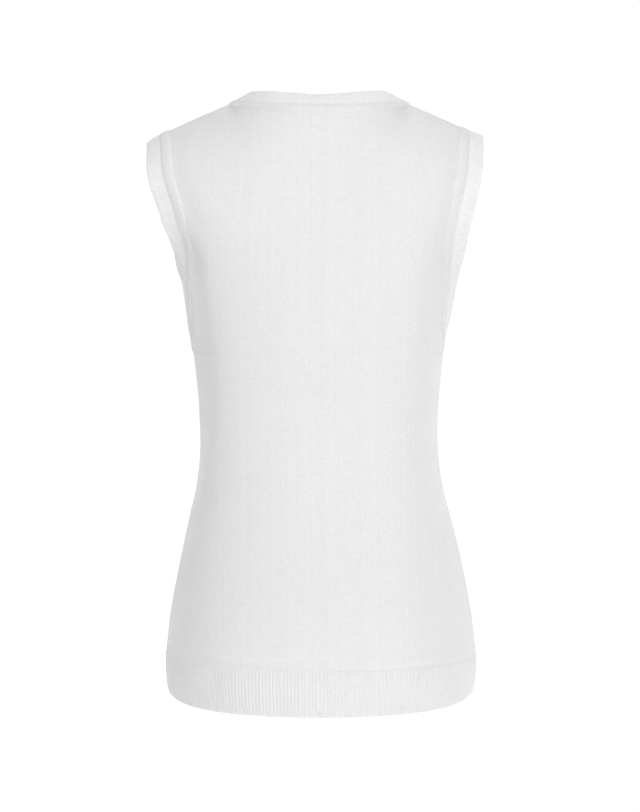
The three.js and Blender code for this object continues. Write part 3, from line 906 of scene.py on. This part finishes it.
@dataclass(frozen=True)
class HemRib:
    """The deep ribbed hem under one panel.

    Attributes:
        node: The solid that it stands for.
        form: The panel's worn form.
        cut: Its flat cut.
        rib: The ribs' shape.
        relief: How high the ribs are.
        rows: Quads down the hem.
        edge_rows: Of these, the ones that turn round the bottom edge.
        girth_samples: Steps in which the girth is measured.
        start: Over how much of the top the ribs rise.
        edge_radius: Radius of the bottom edge.
    """

    node: str
    form: PanelForm
    cut: Sheet
    rib: RibShape = RibShape()
    relief: float = 0.45
    rows: int = 15
    edge_rows: int = 5
    girth_samples: int = 800
    start: float = 2.0
    edge_radius: float = 1.1

    def build(self, finishes: Sequence[bpy.types.Material]) -> bpy.types.Object:
        """Makes the hem.

        Args:
            finishes: The rib's face and its back.

        Returns:
            The piece.
        """
        samples = np.linspace(-1, 1, self.girth_samples + 1)
        run = run_along(self.form.point(samples, RIB_TOP_Z))
        ribs = round(run[-1] / RIB_PITCH)
        share = np.linspace(0, 1, ribs * self.rib.segments + 1)
        s = np.interp(share * run[-1], run, samples)
        bottom = mix(HEM_Z, HEM_SIDE_Z, np.abs(s) ** HEM_CURVE) + self.edge_radius
        down = np.linspace(0, 1, self.rows - self.edge_rows + 1)
        z = np.concatenate((mix(RIB_TOP_Z, bottom, down[:, None]), np.tile(bottom, (self.edge_rows, 1))))
        turn = np.linspace(0, np.pi / 2, self.edge_rows + 1)[1:, None]
        rising = np.clip((RIB_TOP_Z - z) / self.start, 0, 1)
        height = RIB_THICKNESS + self.relief * self.rib.relief(share * ribs)
        outer_height = mix(JERSEY_THICKNESS, height, rising)
        inner_height = np.zeros_like(outer_height)
        rounded = z.copy()
        half = outer_height[-self.edge_rows :] / 2
        rounded[-self.edge_rows :] = bottom - self.edge_radius * np.sin(turn)
        outer_height[-self.edge_rows :] = half + half * np.cos(turn)
        inner_height[-self.edge_rows :] = half - half * np.cos(turn)
        surface = Surface(f"{self.node}_knit")
        knit = np.stack(np.broadcast_arrays(share * ribs * 2 + 0.5, (z - HEM_Z) / COURSE), axis=-1)
        places = [self._place(s, rounded, height) for height in (outer_height, inner_height)]
        surface.add_shell(places[0], places[1], knit)
        return self.cut.declare(surface.build(finishes), self.node, "rib")

    def _place(self, s: Array, z: Array, height: Array) -> Array:
        """Places points over the hem's inner face.

        Args:
            s: Their places across.
            z: Their heights up the vest.
            height: How far they stand over the face.

        Returns:
            The points.
        """
        s = np.broadcast_to(s, z.shape)
        normal = self.form.normal(s, z) * np.array((1.0, 1.0, 0.0))
        ends = np.abs(s) > 1 - TINY
        normal = unit(np.where(ends[..., None], normal * np.array((1.0, 0.0, 0.0)), normal))
        point = self.form.point(s, z) + normal * (height - JERSEY_THICKNESS)[..., None]
        point[..., 2] = z
        return point


@dataclass(frozen=True)
class SeamLine:
    """A seam that a band is joined along.

    Attributes:
        table: Place, cloth normal, direction off the panel and bend, along the seam from 0 to 1.
        length: The seam's length.
    """

    COLUMNS = ("u", "bend", "x", "y", "z", "nx", "ny", "nz", "dx", "dy", "dz")
    LEAST_BEND = 1e-6

    table: Table
    length: float

    @classmethod
    def along(cls, points: Array, normals: Array, bend: Array, closed: bool) -> SeamLine:
        """Makes a seam line through points.

        Args:
            points: The panels' edge.
            normals: The cloth's normals there.
            bend: The band's bend there, in degrees.
            closed: Whether the last point is the first one again.

        Returns:
            The seam line.
        """
        ahead, behind = np.roll(points, -1, axis=0), np.roll(points, 1, axis=0)
        if closed:
            ahead[-1], behind[0] = points[1], points[-2]
        else:
            ahead[-1], behind[0] = points[-1], points[0]
        off = unit(np.cross(normals, ahead - behind))
        run = run_along(points)
        rows = np.column_stack((run / run[-1], bend, points, normals, off))
        if closed:
            before, after = rows[-3:-1].copy(), rows[1:3].copy()
            before[:, 0] -= 1
            after[:, 0] += 1
            rows = np.concatenate((before, rows, after))
        return cls(Table(cls.COLUMNS, rows), float(run[-1]))

    def place(self, u: Array, w: Array, h: Array, width: float) -> Array:
        """Returns points of a band.

        Args:
            u: Along the seam.
            w: Out from it.
            h: Over the band's inner face.
            width: The band's width, over which it bends.

        Returns:
            The points.
        """
        u, w, h = np.broadcast_arrays(u, w, h)
        base, normal, off = (
            stack(*(self.table.read(name, u) for name in names))
            for names in (self.COLUMNS[2:5], self.COLUMNS[5:8], self.COLUMNS[8:11])
        )
        normal = unit(normal)
        off = unit(off - normal * np.sum(off * normal, axis=-1, keepdims=True))
        bend = np.radians(self.table.read("bend", u)) + self.LEAST_BEND
        angle, reach = bend * w / width, width / bend
        out = (reach + h) * np.sin(angle)
        over = h * np.cos(angle) - reach * (1 - np.cos(angle)) - JERSEY_THICKNESS
        return base + off * out[..., None] + normal * over[..., None]


@dataclass(frozen=True)
class RibBand:
    """A ribbed band with a plain rolled ridge that covers the panels' edge.

    Attributes:
        node: The solid that it stands for.
        seam: The seam line that it is joined along.
        cut: Its flat cut.
        ease: The band's length as a share of its seam's.
        mitre: How far along the seam the mitred ends reach, or 0 for a closed band.
        relief: How high the ribs are.
        rib: The ribs' shape.
        width: The band's width.
    """

    # The ridge's outer face and the groove beside it: out from the seam, and height over the inner face.
    RIDGE = (
        (-2.8, 0.7),
        (-2.4, 1.2),
        (-1.7, 1.6),
        (-0.6, 2.0),
        (0.7, 2.35),
        (2.2, 2.5),
        (3.8, 2.52),
        (5.3, 2.4),
        (6.5, 2.16),
        (7.4, 1.88),
        (8.0, 1.72),
    )
    RIB_START, RIB_FULL, RIB_END = 8.6, 10.4, 21.8
    # The lines round the outer edge: out from the seam, and share of the wall over the inner face.
    EDGE = ((22.7, 0.85), (23.0, 0.5), (22.7, 0.15))
    # The inner face: a few lines across the rib, and a roll that covers the panels' edge on the inside.
    INSIDE = ((21.6, 0.0), (16.0, 0.0), (10.0, 0.0), (4.0, -0.2), (1.0, -0.7), (-1.4, -0.8), (-2.8, 0.0))
    RIB_LINES = 7
    MITRE_GAP = 0.03
    HALVINGS = 24

    node: str
    seam: SeamLine
    cut: Sheet
    ease: float
    mitre: float = 0.0
    relief: float = 0.3
    rib: RibShape = RibShape()
    width: float = 23.0

    def build(self, finishes: Sequence[bpy.types.Material]) -> bpy.types.Object:
        """Makes the band.

        Args:
            finishes: The rib's face and its back.

        Returns:
            The piece.
        """
        ribs = round(self.ease * self.seam.length / RIB_PITCH)
        u = np.linspace(0, 1, ribs * self.rib.segments + 1)
        relief = self.rib.relief(u * ribs)
        lines = self._lines()
        points = np.stack([self._line(u, relief, w, share) for w, share in lines], axis=1)
        across = np.cumsum([0.0] + [abs(b[0] - a[0]) for a, b in zip(lines, lines[1:])])
        knit = np.stack(np.broadcast_arrays((u * ribs * 2 + 0.5)[:, None], across / COURSE), axis=-1)
        surface = Surface(f"{self.node}_knit")
        split = len(lines) - len(self.INSIDE) - 1
        surface.add_grid(points[:, :split], knit[:, :split])
        surface.add_grid(points[:, split - 1 :], knit[:, split - 1 :], 1)
        if self.mitre:
            surface.add_cap(points[0], knit[0], True)
            surface.add_cap(points[-1], knit[-1], False)
        return self.cut.declare(surface.build(finishes), self.node, "rib")

    def _lines(self) -> list[tuple[float, float]]:
        """Lists the lines round the section.

        Returns:
            How far out from the seam each is, and its share of the wall over its back.
        """
        ribbed = np.linspace(self.RIB_START, self.RIB_END, self.RIB_LINES)
        outside = [(w, 1.0) for w, _ in self.RIDGE] + [(float(w), 1.0) for w in ribbed]
        return [*outside, *self.EDGE, *((w, 0.0) for w, _ in self.INSIDE), outside[0]]

    def _height(self, w: Array, relief: Array, share: float) -> Array:
        """Returns heights over the inner face's plain at a distance from the seam.

        Args:
            w: The distance.
            relief: The ribs' relief there.
            share: Share of the wall over its back.

        Returns:
            The heights.
        """
        ridge, inside = np.array(self.RIDGE), np.array(self.INSIDE[::-1])
        foot = self.RIDGE[-1][0]
        rising = smooth_step(w, foot, self.RIB_FULL) * smooth_step(-w, -self.width, -self.RIB_END)
        ribbed = RIB_THICKNESS + self.relief * (relief - 0.4) * rising
        plain = np.interp(w, ridge[:, 0], ridge[:, 1])
        outer = mix(plain, ribbed, smooth_step(w, foot, self.RIB_START + 0.6))
        return mix(np.interp(w, inside[:, 0], inside[:, 1]), outer, share)

    def _line(self, u: Array, relief: Array, w: float, share: float) -> Array:
        """Returns one line along the band, cut off in the mitre.

        Args:
            u: Places along the seam.
            relief: The ribs' relief there.
            w: How far out from the seam the line runs.
            share: Share of the wall over its back.

        Returns:
            Its points.
        """

        def at(reach: Array) -> Array:
            """Returns the line's points at a reach out from the seam."""
            return self.seam.place(u, reach, self._height(reach, relief, share), self.width)

        full = np.full_like(u, w)
        if not self.mitre:
            return at(full)
        side = np.where(u < 0.5, 1.0, -1.0)
        near = np.minimum(u, 1 - u) * self.seam.length <= self.mitre
        blocked = near & (side * at(full)[:, 0] < self.MITRE_GAP)
        low, high = np.full_like(u, self.RIDGE[0][0]), full.copy()
        for _ in range(self.HALVINGS):
            middle = (low + high) / 2
            clear = side * at(middle)[:, 0] >= self.MITRE_GAP
            low, high = np.where(clear, middle, low), np.where(clear, high, middle)
        return at(np.where(blocked, low, full))


class SeamMaker:
    """Works out the seam lines of the bands from the panels' edges."""

    # Places where a panel is measured across its top, up its armhole and over its shoulder.
    STATIONS = 28
    ARMHOLE_STATIONS = 10
    SHOULDER_STATIONS = 9
    # Over 1, they crowd where the armhole's edge runs level.
    CROWDING = 1.6
    # How steeply the band stands at the middle of the back neck and at its ends, in degrees.
    BACK_NECK_TILT = (27.0, 66.0)
    # How far from the middle plane each end of the neck's seam starts.
    MITRE_START = 0.06

    def armhole(self, side: float) -> SeamLine:
        """Works out the seam line of one armhole.

        Args:
            side: 1 for the wearer's left and -1 for the right.

        Returns:
            The seam line.
        """
        edges = [self._armhole_edge(form, side) for form in (BACK, FRONT)]
        (up, up_normal), (down, down_normal) = edges[0], tuple(a[::-1] for a in edges[1])
        points = self._joined(up, down)
        normals = unit(self._joined(up_normal, down_normal))
        rise = (points[:, 2] - points[:, 2].min()) / np.ptp(points[:, 2])
        bend = ARMHOLE_BEND.read("left" if side > 0 else "right", rise)
        if side < 0:
            points, normals, bend = points[::-1], normals[::-1], bend[::-1]
        return SeamLine.along(points, normals, bend, closed=True)

    def neck(self) -> SeamLine:
        """Works out the seam line of the neck, from the V up the left side, round and down again.

        Returns:
            The seam line.
        """
        reach = round(NECK_SHARE * self.STATIONS / 2)
        s = np.arange(reach + 1) / (self.STATIONS / 2)
        left, left_normal = self._neck_edge(FRONT, s)
        over, over_normal = self._neck_edge(BACK, np.concatenate((s[::-1], -s[1:])))
        right, right_normal = self._neck_edge(FRONT, -s[::-1])
        points = self._chained(left, over, right)
        normals = unit(self._chained(left_normal, over_normal, right_normal))
        for end, following in ((0, 1), (-1, -2)):
            share = self.MITRE_START / abs(points[following, 0])
            points[end] = mix(points[end], points[following], share)
            normals[end] = normals[following]
        turn = 1 - np.abs(np.linspace(-1, 1, len(points)))
        return SeamLine.along(points, normals, NECK_BEND.read("bend", turn), closed=False)

    def _armhole_edge(self, form: PanelForm, side: float) -> tuple[Array, Array]:
        """Measures a panel's armhole edge, from the underarm up.

        Args:
            form: The panel's form.
            side: 1 for the wearer's left and -1 for the right.

        Returns:
            The edge's points and normals.
        """
        rise = np.linspace(0, 1, self.ARMHOLE_STATIONS + 1) ** self.CROWDING
        over = np.linspace(form.round_over, form.top, self.SHOULDER_STATIONS + 1)[1:]
        rows = np.concatenate((mix(UNDERARM_Z, form.round_over, rise), over))
        points, normals = form.at(side, rows), form.normal(side, rows)
        normals[[0, -1], 1] = 0
        return points, unit(normals)

    def _neck_edge(self, form: PanelForm, s: Array) -> tuple[Array, Array]:
        """Measures a panel's neck edge.

        Args:
            form: The panel's form.
            s: Places across.

        Returns:
            The edge's points and normals.
        """
        points, normals = form.at(s, form.top), form.normal(s, form.top)
        if form is BACK:
            share = np.abs(s) / NECK_SHARE
            tilt = np.radians(mix(*self.BACK_NECK_TILT, share**2))
            depth = form.neck[0] - NECK_SIDE[1]
            plan = stack(points[:, 0] / NECK_SIDE[0] ** 2, (points[:, 1] - NECK_SIDE[1]) / depth**2, 0.0)
            return points, unit(unit(plan) * np.cos(tilt)[:, None] + stack(0.0, 0.0, np.sin(tilt)))
        corner = np.abs(s) > NECK_SHARE - TINY
        normals[corner, 1] = 0
        return points, unit(normals)

    @staticmethod
    def _joined(up: Array, down: Array) -> Array:
        """Returns a loop of two runs, with the ends that they share halfway between them."""
        first, turn = (up[:1] + down[-1:]) / 2, (up[-1:] + down[:1]) / 2
        return np.concatenate((first, up[1:-1], turn, down[1:-1], first))

    @staticmethod
    def _chained(*runs: Array) -> Array:
        """Joins runs that share their ends.

        Args:
            runs: The runs.

        Returns:
            One run, with each shared end halfway between its two places.
        """
        chain = runs[0]
        for run in runs[1:]:
            chain = np.concatenate((chain[:-1], (chain[-1:] + run[:1]) / 2, run[1:]))
        return chain


class Value:
    """A socket in a material's nodes that Python can work with as with a number."""

    def __init__(self, nodes: Nodes, socket: bpy.types.NodeSocket) -> None:
        """Wraps a socket of a set of nodes."""
        self.nodes = nodes
        self.socket = socket

    def __add__(self, other: Number) -> Value:
        """Returns self + other."""
        return self.nodes.math("ADD", self, other)

    __radd__ = __add__

    def __sub__(self, other: Number) -> Value:
        """Returns self - other."""
        return self.nodes.math("SUBTRACT", self, other)

    def __rsub__(self, other: Number) -> Value:
        """Returns other - self."""
        return self.nodes.math("SUBTRACT", other, self)

    def __mul__(self, other: Number) -> Value:
        """Returns self * other."""
        return self.nodes.math("MULTIPLY", self, other)

    __rmul__ = __mul__

    def __abs__(self) -> Value:
        """Returns the size of self."""
        return self.nodes.math("ABSOLUTE", self)

    def fraction(self) -> Value:
        """Returns self less the whole number below it."""
        return self.nodes.math("FRACT", self)

    def floor(self) -> Value:
        """Returns the whole number below self."""
        return self.nodes.math("FLOOR", self)

    def below(self, limit: float, fade: float) -> Value:
        """Returns 1 where self is below a limit and 0 where it is over it by fade or more."""
        sockets = {"Value": self, "From Min": limit, "From Max": limit + fade, "To Min": 1.0, "To Max": 0.0}
        return Value(self.nodes, self.nodes.node("MapRange", {}, sockets).outputs["Result"])


class Nodes:
    """The nodes of one material or world."""

    def __init__(self, tree: bpy.types.NodeTree) -> None:
        """Starts with an empty node tree."""
        self.tree = tree
        tree.nodes.clear()

    def node(
        self, kind: str, settings: Mapping[str, Any], sockets: Mapping[str | int, Any]
    ) -> bpy.types.Node:
        """Adds a node.

        Args:
            kind: The node's type, without its ShaderNode prefix.
            settings: Its own settings.
            sockets: Values or links of its inputs, by name or place.

        Returns:
            The node.
        """
        node = self.tree.nodes.new(f"ShaderNode{kind}")
        for name, value in settings.items():
            setattr(node, name, value)
        for name, value in sockets.items():
            if isinstance(value, Value):
                value = value.socket
            if isinstance(value, bpy.types.NodeSocket):
                self.tree.links.new(value, node.inputs[name])
            else:
                node.inputs[name].default_value = value
        return node

    def math(self, operation: str, *numbers: Number) -> Value:
        """Returns a Math node's result."""
        sockets = dict(enumerate(numbers))
        return Value(self, self.node("Math", {"operation": operation}, sockets).outputs[0])

    def noise(self, scale: float, detail: float = 2.0) -> Value:
        """Adds noise over the object.

        Args:
            scale: Its waves to a metre.
            detail: How many finer waves ride on them.

        Returns:
            The noise, from 0 to 1.
        """
        place = self.node("TexCoord", {}, {}).outputs["Object"]
        made = self.node("TexNoise", {}, {"Vector": place, "Scale": scale, "Detail": detail})
        return Value(self, made.outputs["Fac"])


class Stitch(Enum):
    """Which side of the knit shows."""

    FACE = "face"
    REVERSE = "reverse"


@dataclass(frozen=True)
class KnitFinish:
    """The finish of the knit.

    Attributes:
        name: The material's name.
        stitch: Which side of the knit shows.
        colour: The yarn's colour, painted darker in the ribs and bands as painted shade.
        relief: Height of the stitches in millimetres.
        slant: How far a stitch's legs rise from its middle to its side, in courses.
        shade: How much darker the gaps between stitches are painted, as painted shade.
        streak: How much one wale's tone differs from the next one's.
        fleck: How much one stitch's tone differs from the next one's.
        cloud: How much the tone drifts over the cloth.
        roughness: The yarn's roughness.
        fuzz: How strongly the yarn's fine hairs catch light at grazing angles.
        plain: How many courses from the piece's foot are knitted close and smooth.
        smoothness: How smooth they are.
        painted_smooth_shade: How much darker the smooth courses are painted, as painted shade that matches
            the stitched cloth's shading.
        link: The course where a line of linking stitches runs, or None.
    """

    # The height that smooth courses have.
    LEVEL = 0.42
    # The yarn's hairs: waves to a metre, their height against the stitches' and the change of roughness.
    HAIRS = 2600
    HAIR_HEIGHT = 0.35
    HAIR_GLOSS = 0.08
    FUZZ_ROUGHNESS = 0.4
    # Waves of the drifting tone to a metre.
    CLOUDS = 14
    # Over how many courses the smooth ones end.
    SMOOTH_FADE = 1.5
    # The linking stitches: half their height, over how much it fades, and the height of their chain.
    LINK_HALF = 0.7
    LINK_FADE = 0.5
    CHAIN_TOP = 0.5
    CHAIN_FALL = 1.6
    # A leg's height where its strand is lowest, and on the reverse the bow and its height at the side.
    LEG_LOW = 0.4
    BOW = 0.3
    BOW_SIDE = 0.55

    name: str
    stitch: Stitch
    colour: tuple[float, float, float]
    relief: float = 0.42
    slant: float = 0.9
    shade: float = 0.21
    streak: float = 0.02
    fleck: float = 0.05
    cloud: float = 0.015
    roughness: float = 0.9
    fuzz: float = 0.12
    plain: float = -3.0
    smoothness: float = 0.6
    painted_smooth_shade: float = 0.1
    link: float | None = None

    def material(self) -> bpy.types.Material:
        """Makes the finish's material.

        Returns:
            The material.
        """
        material = bpy.data.materials.new(self.name)
        material.use_nodes = True
        nodes = Nodes(material.node_tree)
        place = nodes.node("UVMap", {"uv_map": KNIT_MAP}, {}).outputs["UV"]
        parts = nodes.node("SeparateXYZ", {}, {"Vector": place})
        wales, courses = Value(nodes, parts.outputs["X"]), Value(nodes, parts.outputs["Y"])
        smooth = courses.below(self.plain, self.SMOOTH_FADE) * self.smoothness
        height = self._stitches(wales, courses)
        height = self._linked(wales, courses, height + (self.LEVEL - height) * smooth)
        wale = nodes.node("TexWhiteNoise", {"noise_dimensions": "1D"}, {"W": wales.floor()})
        cell = nodes.node("CombineXYZ", {}, {0: wales.floor(), 1: courses.floor()}).outputs[0]
        stitch = nodes.node("TexWhiteNoise", {"noise_dimensions": "2D"}, {"Vector": cell})
        streak = (Value(nodes, wale.outputs["Value"]) - 0.5) * self.streak
        fleck = (Value(nodes, stitch.outputs["Value"]) - 0.5) * self.fleck
        cloud = (nodes.noise(self.CLOUDS) - 0.5) * self.cloud
        # Painted shade darkens the gaps between stitches and the smooth courses; streak, fleck and cloud
        # are the yarn's own random tone.
        tone = 1 - (1 - height) * self.shade - smooth * self.painted_smooth_shade + streak + fleck + cloud
        colour = nodes.node("VectorMath", {"operation": "SCALE"}, {0: self.colour, "Scale": tone})
        hairs = nodes.noise(self.HAIRS)
        raised = height + hairs * self.HAIR_HEIGHT
        bump = nodes.node("Bump", {}, {"Strength": 1.0, "Distance": self.relief * MM, "Height": raised})
        shader = nodes.node(
            "BsdfPrincipled",
            {},
            {
                "Base Color": colour.outputs[0],
                "Roughness": self.roughness + (hairs - 0.5) * self.HAIR_GLOSS,
                "Sheen Weight": self.fuzz,
                "Sheen Roughness": self.FUZZ_ROUGHNESS,
                "Normal": bump.outputs["Normal"],
            },
        )
        nodes.node("OutputMaterial", {}, {"Surface": shader.outputs["BSDF"]})
        return material

    def _linked(self, wales: Value, courses: Value, height: Value) -> Value:
        """Returns the stitches' height with the linking stitches in it.

        Args:
            wales: Place across the knit.
            courses: Place up the knit.
            height: The stitches' own height.

        Returns:
            The height.
        """
        if self.link is None:
            return height
        near = abs(courses - self.link).below(self.LINK_HALF, self.LINK_FADE)
        chain = self.CHAIN_TOP - abs((wales * 2).fraction() - 0.5) * self.CHAIN_FALL
        return height + (chain - height) * near

    def _stitches(self, wales: Value, courses: Value) -> Value:
        """Returns the height of the stitches, from 0 to 1.

        Args:
            wales: Place across the knit.
            courses: Place up the knit.

        Returns:
            The height.
        """
        if self.stitch is Stitch.REVERSE:
            wave = abs(wales.fraction() * 2 - 1)
            rise = (courses + wave * wave * self.BOW).fraction()
            return rise * (1 - rise) * 4 * (self.BOW_SIDE + (1 - self.BOW_SIDE) * (1 - wave))
        aside = abs(wales.fraction() * 2 - 1)
        leg = aside * (1 - aside) * 4
        rise = (courses - aside * self.slant).fraction()
        strand = rise * (1 - rise) * 4
        return leg * (self.LEG_LOW + (1 - self.LEG_LOW) * strand)


WHITE = (0.89, 0.89, 0.89)
# The ribs and bands are the same white yarn as the panels, painted darker: painted shade that keeps them
# from coming out brighter than the panels.
SHADED_BAND_WHITE = (0.71, 0.71, 0.71)
SHADED_RIB_WHITE = (0.71, 0.71, 0.71)
JERSEY_FACE = KnitFinish("jersey_face", Stitch.FACE, WHITE, plain=6.0, painted_smooth_shade=0.22)
JERSEY_REVERSE = KnitFinish("jersey_reverse", Stitch.REVERSE, WHITE)
RIB_FACE = KnitFinish("rib_face", Stitch.FACE, SHADED_RIB_WHITE, relief=0.2, shade=0.1)
RIB_REVERSE = KnitFinish("rib_reverse", Stitch.REVERSE, SHADED_RIB_WHITE)
BAND_FACE = KnitFinish(
    "band_face", Stitch.FACE, SHADED_BAND_WHITE, relief=0.16, shade=0.08, plain=7.6, painted_smooth_shade=0.16, link=8.8
)


@dataclass(frozen=True)
class SoftBox:
    """A square studio light.

    Attributes:
        name: Its name.
        turn: Where it stands round the vest, in degrees from the camera to the picture's right.
        rise: How high it stands over the vest's middle, in degrees.
        size: Its side in metres.
        power: Its power in watts.
        distance: How far it stands from the vest, in metres.
    """

    name: str
    turn: float
    rise: float
    size: float
    power: float
    distance: float = 2.8

    def light(self, target: Vector) -> None:
        """Adds the light.

        Args:
            target: The point that it is turned to, in metres.
        """
        turn, rise = math.radians(self.turn), math.radians(self.rise)
        away = Vector(
            (-math.sin(turn) * math.cos(rise), math.cos(turn) * math.cos(rise), math.sin(rise))
        )
        data = bpy.data.lights.new(self.name, "AREA")
        data.size = self.size
        data.energy = self.power
        lamp = bpy.data.objects.new(self.name, data)
        lamp.location = target + away * self.distance
        lamp.rotation_euler = (-away).to_track_quat("-Z", "Y").to_euler()
        bpy.context.collection.objects.link(lamp)


@dataclass(frozen=True)
class Studio:
    """The floor, lights and camera.

    Attributes:
        target: The point that the camera looks at, in millimetres.
        distance: How far the camera stands from it, in millimetres.
        elevation: How far the camera stands above it, in degrees.
        lens: Focal length on the 36 mm sensor.
        floor_z: The floor's height in metres, about where a wearer would stand.
        floor_size: The floor's side in metres.
        floor_tone: The floor's tone.
        floor_mottle: How much that varies.
        floor_waves: How many waves it varies in to a metre.
        backdrop: Brightness of the white behind the vest.
        ambient: Brightness of the light that comes from all round.
        lights: The soft boxes.
    """

    target: tuple[float, float, float] = (-1.0, 0.0, -287.0)
    distance: float = 2400.0
    elevation: float = 5.0
    lens: float = 106.4
    floor_z: float = -1.45
    floor_size: float = 3.0
    floor_tone: float = 0.93
    floor_mottle: float = 0.01
    floor_waves: float = 3.0
    backdrop: float = 1.05
    ambient: float = 0.165
    lights: tuple[SoftBox, ...] = (
        SoftBox("bank_right", 45.0, 10.0, 1.8, 25.0),
        SoftBox("bank_left", -45.0, 10.0, 1.8, 10.0),
        SoftBox("high_right", 36.0, 50.0, 2.2, 34.0),
        SoftBox("high_left", -38.0, 50.0, 2.2, 43.0),
        SoftBox("low_right", 45.0, -30.0, 1.6, 30.0),
        SoftBox("low_left", -45.0, -30.0, 1.6, 18.0),
        SoftBox("rim_right", 137.0, 10.0, 1.6, 42.0),
        SoftBox("rim_left", -145.0, 10.0, 1.6, 36.0),
        SoftBox("rim_top", 180.0, 50.0, 1.6, 7.0),
    )

    def build(self) -> None:
        """Sets the studio up."""
        self._floor()
        self._world()
        self._camera()
        for box in self.lights:
            box.light(Vector(self.target) * MM)
        bpy.context.scene.view_settings.view_transform = "Standard"

    def _camera(self) -> None:
        """Adds the camera, behind the vest and a little above its middle."""
        target, turn = Vector(self.target) * MM, math.radians(self.elevation)
        data = bpy.data.cameras.new("camera")
        data.lens = self.lens
        camera = bpy.data.objects.new("camera", data)
        back = Vector((0.0, math.cos(turn), math.sin(turn)))
        camera.location = target + back * self.distance * MM
        camera.rotation_euler = (-back).to_track_quat("-Z", "Y").to_euler()
        bpy.context.collection.objects.link(camera)
        bpy.context.scene.camera = camera

    def _floor(self) -> None:
        """Adds a plain pale floor."""
        half, z = self.floor_size / 2, self.floor_z
        mesh = bpy.data.meshes.new("floor")
        corners = [(-half, -half, z), (half, -half, z), (half, half, z), (-half, half, z)]
        mesh.from_pydata(corners, [], [(0, 1, 2, 3)])
        material = bpy.data.materials.new("floor")
        material.use_nodes = True
        nodes = Nodes(material.node_tree)
        tone = self.floor_tone + (nodes.noise(self.floor_waves) - 0.5) * self.floor_mottle
        colour = nodes.node("CombineXYZ", {}, {0: tone, 1: tone, 2: tone}).outputs[0]
        shader = nodes.node(
            "BsdfPrincipled",
            {},
            {"Base Color": colour, "Roughness": 0.8, "Emission Color": colour, "Emission Strength": 1.0},
        )
        nodes.node("OutputMaterial", {}, {"Surface": shader.outputs["BSDF"]})
        mesh.materials.append(material)
        floor = bpy.data.objects.new("floor", mesh)
        bpy.context.collection.objects.link(floor)

    def _world(self) -> None:
        """Adds the white surroundings, brighter to look at than as a light."""
        world = bpy.data.worlds.new("studio")
        bpy.context.scene.world = world
        world.use_nodes = True
        nodes = Nodes(world.node_tree)
        seen = nodes.node("LightPath", {}, {}).outputs["Is Camera Ray"]
        strength = self.ambient + Value(nodes, seen) * (self.backdrop - self.ambient)
        white = nodes.node("Background", {}, {"Color": (1, 1, 1, 1), "Strength": strength})
        nodes.node("OutputWorld", {}, {"Surface": white.outputs[0]})


@dataclass
class Vest:
    """The whole vest.

    Attributes:
        pieces: Its pieces, once made.
    """

    pieces: list[bpy.types.Object] = field(default_factory=list)

    def build(self) -> None:
        """Makes each piece and reports it."""
        jersey = (JERSEY_FACE.material(), JERSEY_REVERSE.material())
        rib = (RIB_FACE.material(), RIB_REVERSE.material())
        band = (BAND_FACE.material(), rib[1])
        self._report(KnitPanel("back_panel", BACK, Sheet(0.46, 0.57, 0.186)).build(jersey))
        self._report(KnitPanel("front_panel", FRONT, Sheet(0.43, 0.60, 0.167)).build(jersey))
        self._report(HemRib("hem_rib_back", BACK, Sheet(0.47, 0.045)).build(rib))
        self._report(HemRib("hem_rib_front", FRONT, Sheet(0.44, 0.045)).build(rib))
        seams = SeamMaker()
        bands = (("armhole_band_left", seams.armhole(1.0)), ("armhole_band_right", seams.armhole(-1.0)))
        for node, seam in bands:
            self._report(RibBand(node, seam, Sheet(0.557, 0.027), ease=0.93).build(band))
        neck = RibBand("neckband", seams.neck(), Sheet(0.706, 0.027), ease=0.95, mitre=75.0, relief=0.24)
        self._report(neck.build(band))

    def _report(self, piece: bpy.types.Object) -> None:
        """Keeps a piece and logs its name and number of faces."""
        self.pieces.append(piece)
        LOG.info("%s: %d faces", piece.name, len(piece.data.polygons))


def main() -> None:
    """Builds the vest and the studio around the frame."""
    logging.basicConfig(level=logging.INFO, format="%(name)s: %(message)s")
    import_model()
    Vest().build()
    Studio().build()


if __name__ == "__main__":
    main()
